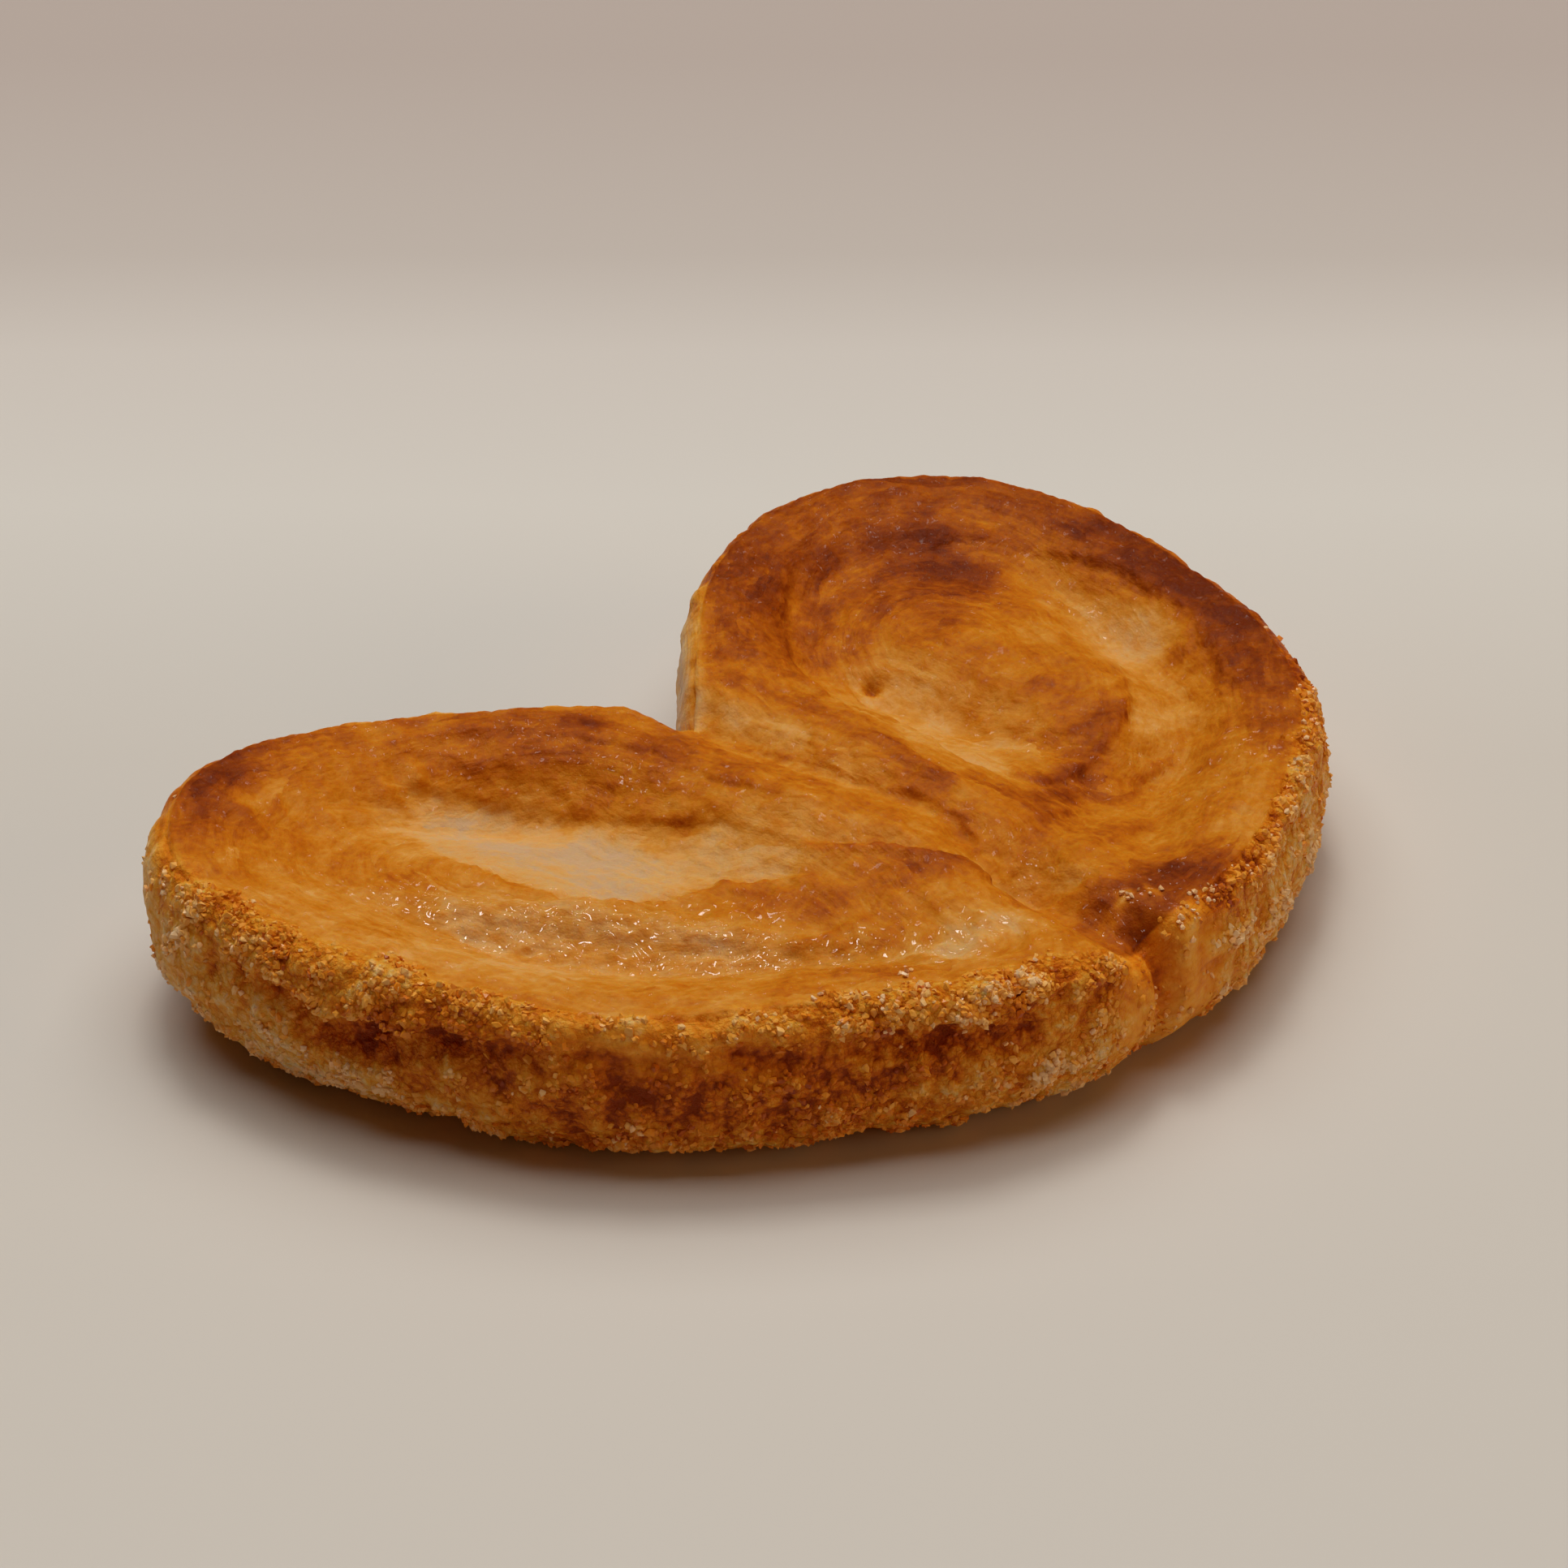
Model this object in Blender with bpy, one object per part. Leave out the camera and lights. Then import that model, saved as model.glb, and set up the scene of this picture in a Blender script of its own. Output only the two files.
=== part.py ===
"""Palmier: a flat heart of coiled puff pastry, lying on its cut face.

Two coils of one folded ribbon of dough, a left and a right lobe, meet along a
seam that runs from the point of the heart to the cleft between the lobes. The
whole pastry is one solid. It starts as a cube cut into a grid: the cube's top
and bottom become the two coiled faces, its four sides the browned edge, and
its middle plane the seam. Lengths are in millimetres up to the last step,
which scales them to metres.
"""

import bmesh
import bpy
import numpy as np

MM = 0.001

# The heart as a whole. The point is near y = 0, and the seam lies on x = 0.
THICKNESS = 10.5
POINT_Y = 0.4
CLEFT_Y = 41.5
ORIGIN_Y = 28.13  # the middle of the heart's box, where the origin goes
ORIGIN_X = 0.16
SQUARENESS = 2.17  # 2 is an ellipse, more is boxier
BULGE_SPREAD = 24.0  # degrees over which a bulge in the outline fades

# Each lobe: the centre of its coil, its size, how far its long axis leans away
# from the seam, and how much its far end curls up. Bulges in the outline are
# at angles from the long axis towards the lobe's outer side, in degrees. The
# groove behind the outer ribbon and the ridge of the next ribbon each have a
# distance from the edge, a half width, and a depth or height.
LEFT = {
    "side": -1,
    "centre": (15.3, 28.6),
    "half_length": 33.0,
    "half_width": 18.8,
    "splay": 40.5,
    "curl": 2.6,
    "bulges": {-70: 0.9, -35: 0.0, 0: -2.2, 35: -1.7, 105: 0.9, 140: -1.6},
    "groove": (10.8, 2.6, 1.4),
    "ridge": (15.4, 2.6, 0.8),
}
RIGHT = {
    "side": 1,
    "centre": (14.2, 28.5),
    "half_length": 31.0,
    "half_width": 21.5,
    "splay": 40.7,
    "curl": 1.8,
    "bulges": {-70: -1.5, 35: -1.8, 70: 1.2, 105: 1.2, 140: -1.3, 175: 2.0},
    "groove": (9.4, 2.5, 1.1),
    "ridge": (13.6, 2.4, 0.5),
}
CURL_START = 32.0  # distance from the point, along a lobe, where it leaves the table

# The edge: how far each face stops short of the outline, how boxy the wall is
# above and below its widest place, and where that is, as a share of its height.
TOP_INSET = 2.1
BOTTOM_INSET = 5.0
TOP_ROUNDNESS = 2.3
BOTTOM_ROUNDNESS = 1.9
WIDEST_AT = 0.52
CORNER_BLEND = 15.0  # the inset turns along the seam over this length of edge

# The coiled faces.
DISH_DEPTH = 1.8
DISH_FROM = 3.0  # distance from the edge where the dish starts, and where it ends
DISH_TO = 13.0
SEAM_DEPTH = 0.9
SEAM_END_DEPTH = 1.0  # how much deeper it is at the point and at the cleft
SEAM_WIDTH = 2.0
SEAM_BOW = 2.2  # the seam's valley bows this far towards the right lobe
SEAM_BOW_Y = 21.0  # halfway along the bow, and its half length
SEAM_BOW_LENGTH = 9.0
SEAM_ROUNDING = 4.0  # how softly the ribbons turn from the outline to the seam
UNDERSIDE_DEPTH = 1.3
UNDERSIDE_GROOVE = 9.5
UNDERSIDE_WIDTH = 2.0

# Dents and swellings of the upper face: place, half length, half width, the
# direction of the long side in degrees from +X, and height.
TOP_FORMS = {
    "left coil's hollow": (-14.8, 37.5, 11.5, 4.8, 121.0, -1.5),
    "left coil's steep side": (-11.0, 39.0, 9.0, 2.4, 121.0, -0.5),
    "left coil's inner wall": (-6.0, 31.0, 13.0, 3.0, 112.0, 0.8),
    "right coil's hollow": (13.0, 31.5, 9.5, 2.8, 99.0, -1.5),
    "right coil's inner wall": (7.2, 32.0, 15.0, 2.2, 79.0, 0.6),
    "right coil's tongue": (20.0, 30.0, 10.5, 5.4, 82.0, 1.2),
    "right coil's end": (14.5, 16.0, 6.0, 2.2, 15.0, -0.9),
    "right coil's outer trough": (30.0, 32.0, 9.0, 3.0, 75.0, -0.6),
    "fold beside the point": (2.7, 12.3, 4.2, 2.2, 40.0, -1.1),
}

# The split at the point, where the two ends of the dough meet.
SPLIT_DEPTH = 2.6
SPLIT_WIDTH = 1.5
SPLIT_X = 1.3

# Grid: cells across one lobe, and rows down the edge.
CELLS = 30
ROWS = 7
OUTLINE_SAMPLES = 361


def smooth_step(low, high, value):
    t = np.clip((value - low) / (high - low), 0.0, 1.0)
    return t * t * (3.0 - 2.0 * t)


def bell(offset, width):
    return np.exp(-((offset / width) ** 2))


def lobe_frame(lobe, x, y):
    """Distance from the lobe's centre, and the angle from its long axis towards the outer side."""
    lean = np.radians(lobe["splay"])
    across, up = x - lobe["centre"][0], y - lobe["centre"][1]
    along = across * np.sin(lean) + up * np.cos(lean)
    outward = across * np.cos(lean) - up * np.sin(lean)
    return np.hypot(along, outward), np.arctan2(outward, along)


def plain_radius(lobe, angle):
    """A superellipse with a few hand-set bulges."""
    radius = (
        (np.abs(np.cos(angle)) / lobe["half_length"]) ** SQUARENESS
        + (np.abs(np.sin(angle)) / lobe["half_width"]) ** SQUARENESS
    ) ** (-1.0 / SQUARENESS)
    for at, amount in lobe["bulges"].items():
        radius = radius + amount * bulge(angle, np.radians(at))
    return radius


def bulge(angle, at):
    offset = (angle - at + np.pi) % (2.0 * np.pi) - np.pi
    return np.exp(-0.5 * (offset / np.radians(BULGE_SPREAD)) ** 2)


def outline_radius(lobe, angle):
    """The plain radius, pulled so that it passes through the point and the cleft."""
    radius = plain_radius(lobe, angle)
    for corner_y in (POINT_Y, CLEFT_Y):
        reach, at = lobe_frame(lobe, 0.0, corner_y)
        radius = radius + (reach - plain_radius(lobe, at)) * bulge(angle, at)
    return radius


def outline_table(lobe):
    """Points from the cleft round the far end to the heart's point, with the length run at each."""
    _, start = lobe_frame(lobe, 0.0, CLEFT_Y)
    _, end = lobe_frame(lobe, 0.0, POINT_Y)
    angle = np.linspace(start, end, OUTLINE_SAMPLES)
    radius, lean = outline_radius(lobe, angle), np.radians(lobe["splay"])
    along, outward = radius * np.cos(angle), radius * np.sin(angle)
    x = lobe["centre"][0] + along * np.sin(lean) + outward * np.cos(lean)
    y = lobe["centre"][1] + along * np.cos(lean) - outward * np.sin(lean)
    x[[0, -1]] = 0.0
    y[[0, -1]] = CLEFT_Y, POINT_Y
    run = np.concatenate([[0.0], np.cumsum(np.hypot(np.diff(x), np.diff(y)))])
    return np.maximum(x, 0.0), y, run


def boundary(lobe, across, along, inset):
    """The lobe's edge for a direction on a square: its left side is the seam, the other three the outline."""
    table_x, table_y, run = outline_table(lobe)
    share = np.where(
        along >= 1.0,
        (across + 1.0) / 6.0,
        np.where(across >= 1.0, (3.0 - along) / 6.0, (5.0 - across) / 6.0),
    )
    here = share * run[-1]
    x, y = np.interp(here, run, table_x), np.interp(here, run, table_y)
    away = smooth_step(0.0, CORNER_BLEND, np.minimum(here, run[-1] - here))
    to_x = away * lobe["centre"][0] - x
    to_y = (1.0 - away) * 0.5 * (POINT_Y + CLEFT_Y) + away * lobe["centre"][1] - y
    reach = np.hypot(to_x, to_y)
    x, y = x + inset * to_x / reach, y + inset * to_y / reach
    seam_y = 0.5 * (POINT_Y + CLEFT_Y) + along * (0.5 * (CLEFT_Y - POINT_Y) - inset)
    on_seam = across <= -1.0
    return np.where(on_seam, 0.0, x), np.where(on_seam, seam_y, y)


def edge_distance(lobe, x, y):
    """Rough distance inwards from the outline, in millimetres."""
    reach, angle = lobe_frame(lobe, x, y)
    step = np.radians(0.5)
    radius = outline_radius(lobe, angle)
    slope = (outline_radius(lobe, angle + step) - radius) / step
    return (radius - reach) / np.hypot(1.0, slope / radius)


def curl(lobe, x, y):
    """How far the lobe has lifted off the table here."""
    lean = np.radians(lobe["splay"])
    along = x * np.sin(lean) + y * np.cos(lean)
    share = (along - CURL_START) / (2.0 * lobe["half_length"] - CURL_START)
    return lobe["curl"] * np.clip(share, 0.0, 1.3) ** 2


def form(x, y, place_x, place_y, half_length, half_width, direction, height):
    """A smooth dent or swelling, longer one way than the other."""
    turn = np.radians(direction)
    along = (x - place_x) * np.cos(turn) + (y - place_y) * np.sin(turn)
    across = (y - place_y) * np.cos(turn) - (x - place_x) * np.sin(turn)
    return height * np.exp(-np.abs(along / half_length) ** 3 - (across / half_width) ** 2)


def top_height(lobe, x, y):
    """The upper face: outer ribbon, groove, inner ribbon, seam, and each coil's own forms."""
    outer = edge_distance(lobe, x, y)
    blend = np.clip(0.5 + 0.5 * (x - outer) / SEAM_ROUNDING, 0.0, 1.0)
    nearest = x * (1.0 - blend) + outer * blend - SEAM_ROUNDING * blend * (1.0 - blend)
    height = THICKNESS + curl(lobe, x, y) - DISH_DEPTH * smooth_step(DISH_FROM, DISH_TO, nearest)
    # The fold between the ribbons fades out round the far end and beside the seam.
    _, angle = lobe_frame(lobe, x, y)
    fold = smooth_step(-3.0, 6.0, x - outer) * smooth_step(0.1, 0.9, np.abs(angle))
    for (at, width, amount), way in ((lobe["groove"], -1.0), (lobe["ridge"], 1.0)):
        height = height + way * amount * fold * bell(outer - at, width)
    ends = smooth_step(20.0, 8.0, y) + smooth_step(30.0, CLEFT_Y, y)
    valley = lobe["side"] * x - SEAM_BOW * bell(y - SEAM_BOW_Y, SEAM_BOW_LENGTH)
    height = height - (SEAM_DEPTH + SEAM_END_DEPTH * ends) * bell(valley, SEAM_WIDTH)
    for numbers in TOP_FORMS.values():
        height = height + form(lobe["side"] * x, y, *numbers)
    return height - split(lobe, x, y)


def bottom_height(lobe, x, y):
    """The underside: the same coil pressed flat on the tray, its ribbons' crests on z = 0."""
    outer = edge_distance(lobe, x, y)
    nearest = np.minimum(outer, x + 2.0)
    groove = bell(nearest - UNDERSIDE_GROOVE, UNDERSIDE_WIDTH)
    hollow = smooth_step(UNDERSIDE_GROOVE + 4.0, UNDERSIDE_GROOVE + 9.0, nearest)
    seam = bell(x, 0.5 * SEAM_WIDTH)
    relief = np.maximum(np.maximum(groove, hollow), seam) - 0.05
    return curl(lobe, x, y) + UNDERSIDE_DEPTH * np.maximum(relief, 0.0)


def split(lobe, x, y):
    """Depth of the crack at the heart's point."""
    across = lobe["side"] * x - SPLIT_X
    return SPLIT_DEPTH * bell(across, SPLIT_WIDTH) * (1.0 - smooth_step(1.0, 7.0, y))


def lobe_points(lobe, across, along, level):
    """Moves points of a square slab, all three coordinates from -1 to 1, onto one lobe."""
    size = np.maximum(np.abs(across), np.abs(along))
    safe = np.where(size > 0.0, size, 1.0)
    rim_across, rim_along = np.round(across / safe, 9), np.round(along / safe, 9)
    turn = np.abs(level) * 0.5 * np.pi
    roundness = np.where(level > 0.0, TOP_ROUNDNESS, BOTTOM_ROUNDNESS)
    out = np.cos(turn) ** (2.0 / roundness)
    rise = np.sin(turn) ** (2.0 / roundness)
    inset = np.where(level > 0.0, TOP_INSET, BOTTOM_INSET) * (1.0 - out)
    rim_x, rim_y = boundary(lobe, rim_across, rim_along, inset)
    x = lobe["centre"][0] * (1.0 - size) + rim_x * size
    y = lobe["centre"][1] * (1.0 - size) + rim_y * size
    face_x, face_y = boundary(lobe, rim_across, rim_along, TOP_INSET)
    foot_x, foot_y = boundary(lobe, rim_across, rim_along, BOTTOM_INSET)
    on_wall = np.abs(level) < 1.0
    top = top_height(lobe, np.where(on_wall, face_x, x), np.where(on_wall, face_y, y))
    bottom = bottom_height(lobe, np.where(on_wall, foot_x, x), np.where(on_wall, foot_y, y))
    middle = bottom + WIDEST_AT * (top - bottom)
    z = middle + np.where(level > 0.0, top - middle, bottom - middle) * rise
    notch = split(lobe, x, y - POINT_Y) * on_wall * 0.6
    return np.column_stack([lobe["side"] * x, y + notch, z])


def gridded_cube():
    """A cube from -1 to 1, cut into cells: two lobes across, one deep, and the edge's rows high."""
    grid = bmesh.new()
    bmesh.ops.create_cube(grid, size=2.0)
    for axis, cells in enumerate((2 * CELLS, CELLS, ROWS)):
        along = [e for e in grid.edges if abs(e.verts[0].co[axis] - e.verts[1].co[axis]) > 1.9]
        bmesh.ops.subdivide_edges(grid, edges=along, cuts=cells - 1, use_grid_fill=True)
    return grid


def palmier_mesh():
    grid = gridded_cube()
    cube = np.array([v.co for v in grid.verts])
    points = np.empty_like(cube)
    for lobe in (LEFT, RIGHT):
        own = lobe["side"] * cube[:, 0] >= -1e-6
        across = 2.0 * np.abs(cube[own, 0]) - 1.0
        across = np.round(across, 6)
        along, level = np.round(cube[own, 1], 6), np.round(cube[own, 2], 6)
        points[own] = lobe_points(lobe, across, along, level)
    points -= (ORIGIN_X, ORIGIN_Y, 0.0)
    for vertex, place in zip(grid.verts, points):
        vertex.co = place * MM
    bmesh.ops.recalc_face_normals(grid, faces=grid.faces)
    mesh = bpy.data.meshes.new("palmier")
    grid.to_mesh(mesh)
    grid.free()
    return mesh


def baked_dough():
    """Golden-brown baked puff pastry, slightly glossy from melted sugar."""
    material = bpy.data.materials.new("baked_dough")
    material.use_nodes = True
    surface = material.node_tree.nodes["Principled BSDF"]
    surface.inputs["Base Color"].default_value = (0.52, 0.21, 0.045, 1.0)
    surface.inputs["Roughness"].default_value = 0.55
    surface.inputs["Metallic"].default_value = 0.0
    return material


def clear_scene():
    for obj in list(bpy.data.objects):
        bpy.data.objects.remove(obj)


def main():
    clear_scene()
    collection = bpy.data.collections.new("palmier")
    bpy.context.scene.collection.children.link(collection)
    pastry = bpy.data.objects.new("pastry", palmier_mesh())
    pastry.data.materials.append(baked_dough())
    pastry.data.shade_smooth()
    collection.objects.link(pastry)


main()
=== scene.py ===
import math
import bpy
import numpy as np
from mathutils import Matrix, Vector


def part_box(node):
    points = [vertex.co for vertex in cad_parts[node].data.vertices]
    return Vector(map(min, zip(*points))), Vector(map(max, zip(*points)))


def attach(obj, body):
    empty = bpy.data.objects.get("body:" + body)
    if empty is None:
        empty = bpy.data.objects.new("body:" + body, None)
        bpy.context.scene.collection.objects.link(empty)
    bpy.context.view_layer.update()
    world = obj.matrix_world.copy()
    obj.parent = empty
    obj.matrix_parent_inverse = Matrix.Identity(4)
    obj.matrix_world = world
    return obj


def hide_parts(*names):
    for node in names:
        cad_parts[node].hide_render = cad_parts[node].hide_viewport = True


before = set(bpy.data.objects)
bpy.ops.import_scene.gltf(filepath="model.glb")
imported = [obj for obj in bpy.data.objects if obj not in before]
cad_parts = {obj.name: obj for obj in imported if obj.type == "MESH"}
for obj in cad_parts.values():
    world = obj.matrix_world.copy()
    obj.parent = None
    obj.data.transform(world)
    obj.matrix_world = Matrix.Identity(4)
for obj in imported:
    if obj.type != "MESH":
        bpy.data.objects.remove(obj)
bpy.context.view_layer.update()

# A palmier: two coils of one folded ribbon of puff pastry, baked with sugar.
# Shapes are worked out in millimetres, with the heart's point near y = 0 and its
# seam on x = 0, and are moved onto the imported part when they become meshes.

heart = {
    "thickness": 10.5, "pointY": 0.4, "cleftY": 41.5,
    "squareness": 2.17,      # 2 is an ellipse, more is boxier
    "bulgeSpread": 24.0,     # degrees over which a bulge in the outline fades
    "curlStart": 32.0,       # where a lobe leaves the table, along its axis
    "topInset": 2.1, "bottomInset": 5.0,
    "topRoundness": 2.3, "bottomRoundness": 1.9, "widestAt": 0.52, "cornerBlend": 15.0,
    "dishDepth": 1.8, "dishFrom": 3.0, "dishTo": 13.0,
    "seamDepth": 0.9, "seamEndDepth": 1.0, "seamWidth": 2.0,
    "seamBow": 2.2, "seamBowY": 21.0, "seamBowLength": 9.0, "seamRounding": 4.0,
    "footDepth": 1.3, "footGroove": 9.5, "footWidth": 2.0,
    "splitDepth": 1.8, "splitWidth": 0.9, "splitX": 1.6,
}
leftLobe = {
    "side": -1, "centre": (15.3, 28.6), "halfLength": 33.0, "halfWidth": 18.8, "splay": 40.5, "curl": 2.6,
    "bulges": {-70: 0.9, -35: 0.0, 0: -2.2, 35: -1.7, 105: 0.9, 140: -1.6},
    "groove": (10.8, 2.6, 1.4), "ridge": (15.4, 2.6, 0.8),
}
rightLobe = {
    "side": 1, "centre": (14.2, 28.5), "halfLength": 31.0, "halfWidth": 21.5, "splay": 40.7, "curl": 1.8,
    "bulges": {-70: -1.5, 35: -1.8, 70: 1.2, 105: 1.2, 140: -1.3, 175: 2.0},
    "groove": (9.4, 2.5, 1.1), "ridge": (13.6, 2.4, 0.5),
}
# Dents and swellings of the upper face: place, half length, half width, direction, height.
topForms = {
    "left coil's hollow": (-14.8, 37.5, 11.5, 4.8, 121.0, -1.5),
    "left coil's steep side": (-11.0, 39.0, 9.0, 2.4, 121.0, -0.5),
    "left coil's inner wall": (-6.0, 31.0, 13.0, 3.0, 112.0, 0.8),
    "right coil's hollow": (13.0, 31.5, 9.5, 2.8, 99.0, -1.5),
    "right coil's inner wall": (7.2, 32.0, 15.0, 2.2, 79.0, 0.6),
    "right coil's tongue": (20.0, 30.0, 10.5, 5.4, 82.0, 1.2),
    "right coil's end": (14.5, 16.0, 6.0, 2.2, 15.0, -0.9),
    "right coil's outer trough": (30.0, 32.0, 9.0, 3.0, 75.0, -0.6),
    "fold beside the point": (2.7, 12.3, 4.2, 2.2, 40.0, -1.1),
}


def smoothStep(low, high, value):
    t = np.clip((value - low) / (high - low), 0.0, 1.0)
    return t * t * (3.0 - 2.0 * t)


def bell(offset, width):
    return np.exp(-((offset / width) ** 2))


def softSpot(x, y, placeX, placeY, halfLength, halfWidth, direction, amount):
    # an oval that is level in the middle and fades at its ends and sides
    turn = math.radians(direction)
    along = (x - placeX) * math.cos(turn) + (y - placeY) * math.sin(turn)
    across = (y - placeY) * math.cos(turn) - (x - placeX) * math.sin(turn)
    return amount * np.exp(-np.abs(along / halfLength) ** 3 - (across / halfWidth) ** 2)


def addSpots(x, y, spots):
    return sum(softSpot(x, y, *numbers) for numbers in spots)


dice = np.random.default_rng(7)
shuffle = dice.permutation(256)
slopes = dice.normal(size=(256, 3))
slopes /= np.linalg.norm(slopes, axis=1)[:, None]


def latticeIndex(cell):
    mixed = shuffle[cell[:, 0] & 255]
    mixed = shuffle[(mixed + cell[:, 1]) & 255]
    return shuffle[(mixed + cell[:, 2]) & 255]


def smoothNoise(points):
    # gradient noise: each lattice corner's slope, blended across its cell, about -1 to 1
    cell = np.floor(points).astype(np.int64)
    inside = points - cell
    fade = inside ** 3 * (inside * (inside * 6.0 - 15.0) + 10.0)
    total = np.zeros(len(points))
    for corner in np.ndindex(2, 2, 2):
        step = np.array(corner)
        weight = np.where(step, fade, 1.0 - fade).prod(axis=1)
        total += weight * ((inside - step) * slopes[latticeIndex(cell + step)]).sum(axis=1)
    return total * 1.5


def layeredNoise(points, size, octaves=4, gain=0.5, shift=0.0):
    # smooth noise at one size, then half that size at half the strength, and so on
    total, strength, reach = np.zeros(len(points)), 1.0, 0.0
    for octave in range(octaves):
        total += strength * smoothNoise(points / size + shift + 17.3 * octave)
        reach += strength
        strength, size = strength * gain, size / 2.03
    return total / reach


def grainNoise(points, size, shift=0.0):
    # cells round scattered seeds: the distance to the nearest seed
    points = points / size + shift
    cell = np.floor(points).astype(np.int64)
    nearest = np.full(len(points), 9.0)
    for step in np.ndindex(3, 3, 3):
        there = cell + np.array(step) - 1
        seed = there + 0.5 + 0.42 * slopes[latticeIndex(there)]
        nearest = np.minimum(nearest, np.linalg.norm(points - seed, axis=1))
    return nearest


def xyz(*columns):
    return np.column_stack(np.broadcast_arrays(*columns)).astype(float)


def lobeFrame(lobe, x, y):
    lean = math.radians(lobe["splay"])
    across, up = x - lobe["centre"][0], y - lobe["centre"][1]
    along = across * math.sin(lean) + up * math.cos(lean)
    outward = across * math.cos(lean) - up * math.sin(lean)
    return np.hypot(along, outward), np.arctan2(outward, along)


def bulgeAt(angle, at):
    offset = (angle - at + np.pi) % (2.0 * np.pi) - np.pi
    return np.exp(-0.5 * (offset / math.radians(heart["bulgeSpread"])) ** 2)


def plainRadius(lobe, angle):
    # a superellipse with a few bulges
    power = heart["squareness"]
    radius = (
        (np.abs(np.cos(angle)) / lobe["halfLength"]) ** power
        + (np.abs(np.sin(angle)) / lobe["halfWidth"]) ** power
    ) ** (-1.0 / power)
    for at, amount in lobe["bulges"].items():
        radius = radius + amount * bulgeAt(angle, math.radians(at))
    return radius


def outlineRadius(lobe, angle):
    # pulled so that both lobes pass through the point and the cleft
    radius = plainRadius(lobe, angle)
    for cornerY in (heart["pointY"], heart["cleftY"]):
        reach, at = lobeFrame(lobe, 0.0, cornerY)
        radius = radius + (reach - plainRadius(lobe, at)) * bulgeAt(angle, at)
    return radius


def outlineTable(lobe, samples=361):
    # points from the cleft round the far end to the heart's point, with the length run at each
    _, start = lobeFrame(lobe, 0.0, heart["cleftY"])
    _, end = lobeFrame(lobe, 0.0, heart["pointY"])
    angle = np.linspace(start, end, samples)
    radius, lean = outlineRadius(lobe, angle), math.radians(lobe["splay"])
    along, outward = radius * np.cos(angle), radius * np.sin(angle)
    x = lobe["centre"][0] + along * math.sin(lean) + outward * math.cos(lean)
    y = lobe["centre"][1] + along * math.cos(lean) - outward * math.sin(lean)
    x[[0, -1]] = 0.0
    y[[0, -1]] = heart["cleftY"], heart["pointY"]
    run = np.concatenate([[0.0], np.cumsum(np.hypot(np.diff(x), np.diff(y)))])
    return np.maximum(x, 0.0), y, run


def rimPoint(lobe, across, along, inset):
    # a square's left side is the seam, and its other three follow the outline by length
    tableX, tableY, run = outlineTable(lobe)
    share = np.where(across >= 1.0, (3.0 - along) / 6.0, (5.0 - across) / 6.0)
    here = np.where(along >= 1.0, (across + 1.0) / 6.0, share) * run[-1]
    x, y = np.interp(here, run, tableX), np.interp(here, run, tableY)
    away = smoothStep(0.0, heart["cornerBlend"], np.minimum(here, run[-1] - here))
    middle = 0.5 * (heart["pointY"] + heart["cleftY"])
    toX = away * lobe["centre"][0] - x
    toY = (1.0 - away) * middle + away * lobe["centre"][1] - y
    reach = np.hypot(toX, toY)
    x, y = x + inset * toX / reach, y + inset * toY / reach
    seamY = middle + along * (0.5 * (heart["cleftY"] - heart["pointY"]) - inset)
    onSeam = across <= -1.0
    return np.where(onSeam, 0.0, x), np.where(onSeam, seamY, y), here


def edgeDistance(lobe, x, y):
    reach, angle = lobeFrame(lobe, x, y)
    step = math.radians(0.5)
    radius = outlineRadius(lobe, angle)
    slope = (outlineRadius(lobe, angle + step) - radius) / step
    return (radius - reach) / np.hypot(1.0, slope / radius)


def nearestEdge(x, outer):
    # the nearer of the seam and the outline, with a rounded turn between them
    blend = np.clip(0.5 + 0.5 * (x - outer) / heart["seamRounding"], 0.0, 1.0)
    return x * (1.0 - blend) + outer * blend - heart["seamRounding"] * blend * (1.0 - blend)


def curlHeight(lobe, x, y):
    lean = math.radians(lobe["splay"])
    along = x * math.sin(lean) + y * math.cos(lean)
    share = (along - heart["curlStart"]) / (2.0 * lobe["halfLength"] - heart["curlStart"])
    return lobe["curl"] * np.clip(share, 0.0, 1.3) ** 2


def splitDepth(lobe, x, y):
    across = lobe["side"] * x - heart["splitX"]
    return heart["splitDepth"] * bell(across, heart["splitWidth"]) * (1.0 - smoothStep(0.5, 5.0, y))


def seamValley(x, y):
    return x - heart["seamBow"] * bell(y - heart["seamBowY"], heart["seamBowLength"])


def topHeight(lobe, x, y):
    outer = edgeDistance(lobe, x, y)
    dish = heart["dishDepth"] * smoothStep(heart["dishFrom"], heart["dishTo"], nearestEdge(x, outer))
    height = heart["thickness"] + curlHeight(lobe, x, y) - dish
    _, angle = lobeFrame(lobe, x, y)
    fold = smoothStep(-3.0, 6.0, x - outer) * smoothStep(0.1, 0.9, np.abs(angle))
    for (at, width, amount), way in ((lobe["groove"], -1.0), (lobe["ridge"], 1.0)):
        height = height + way * amount * fold * bell(outer - at, width)
    ends = smoothStep(20.0, 8.0, y) + smoothStep(30.0, heart["cleftY"], y)
    seam = heart["seamDepth"] + heart["seamEndDepth"] * ends
    height = height - seam * bell(seamValley(lobe["side"] * x, y), heart["seamWidth"])
    height = height + addSpots(lobe["side"] * x, y, topForms.values())
    return height - splitDepth(lobe, x, y)


def bottomHeight(lobe, x, y):
    outer = edgeDistance(lobe, x, y)
    nearest = np.minimum(outer, x + 2.0)
    groove = bell(nearest - heart["footGroove"], heart["footWidth"])
    hollow = smoothStep(heart["footGroove"] + 4.0, heart["footGroove"] + 9.0, nearest)
    seam = bell(x, 0.5 * heart["seamWidth"])
    relief = np.maximum(np.maximum(groove, hollow), seam) - 0.05
    return curlHeight(lobe, x, y) + heart["footDepth"] * np.maximum(relief, 0.0)


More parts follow.
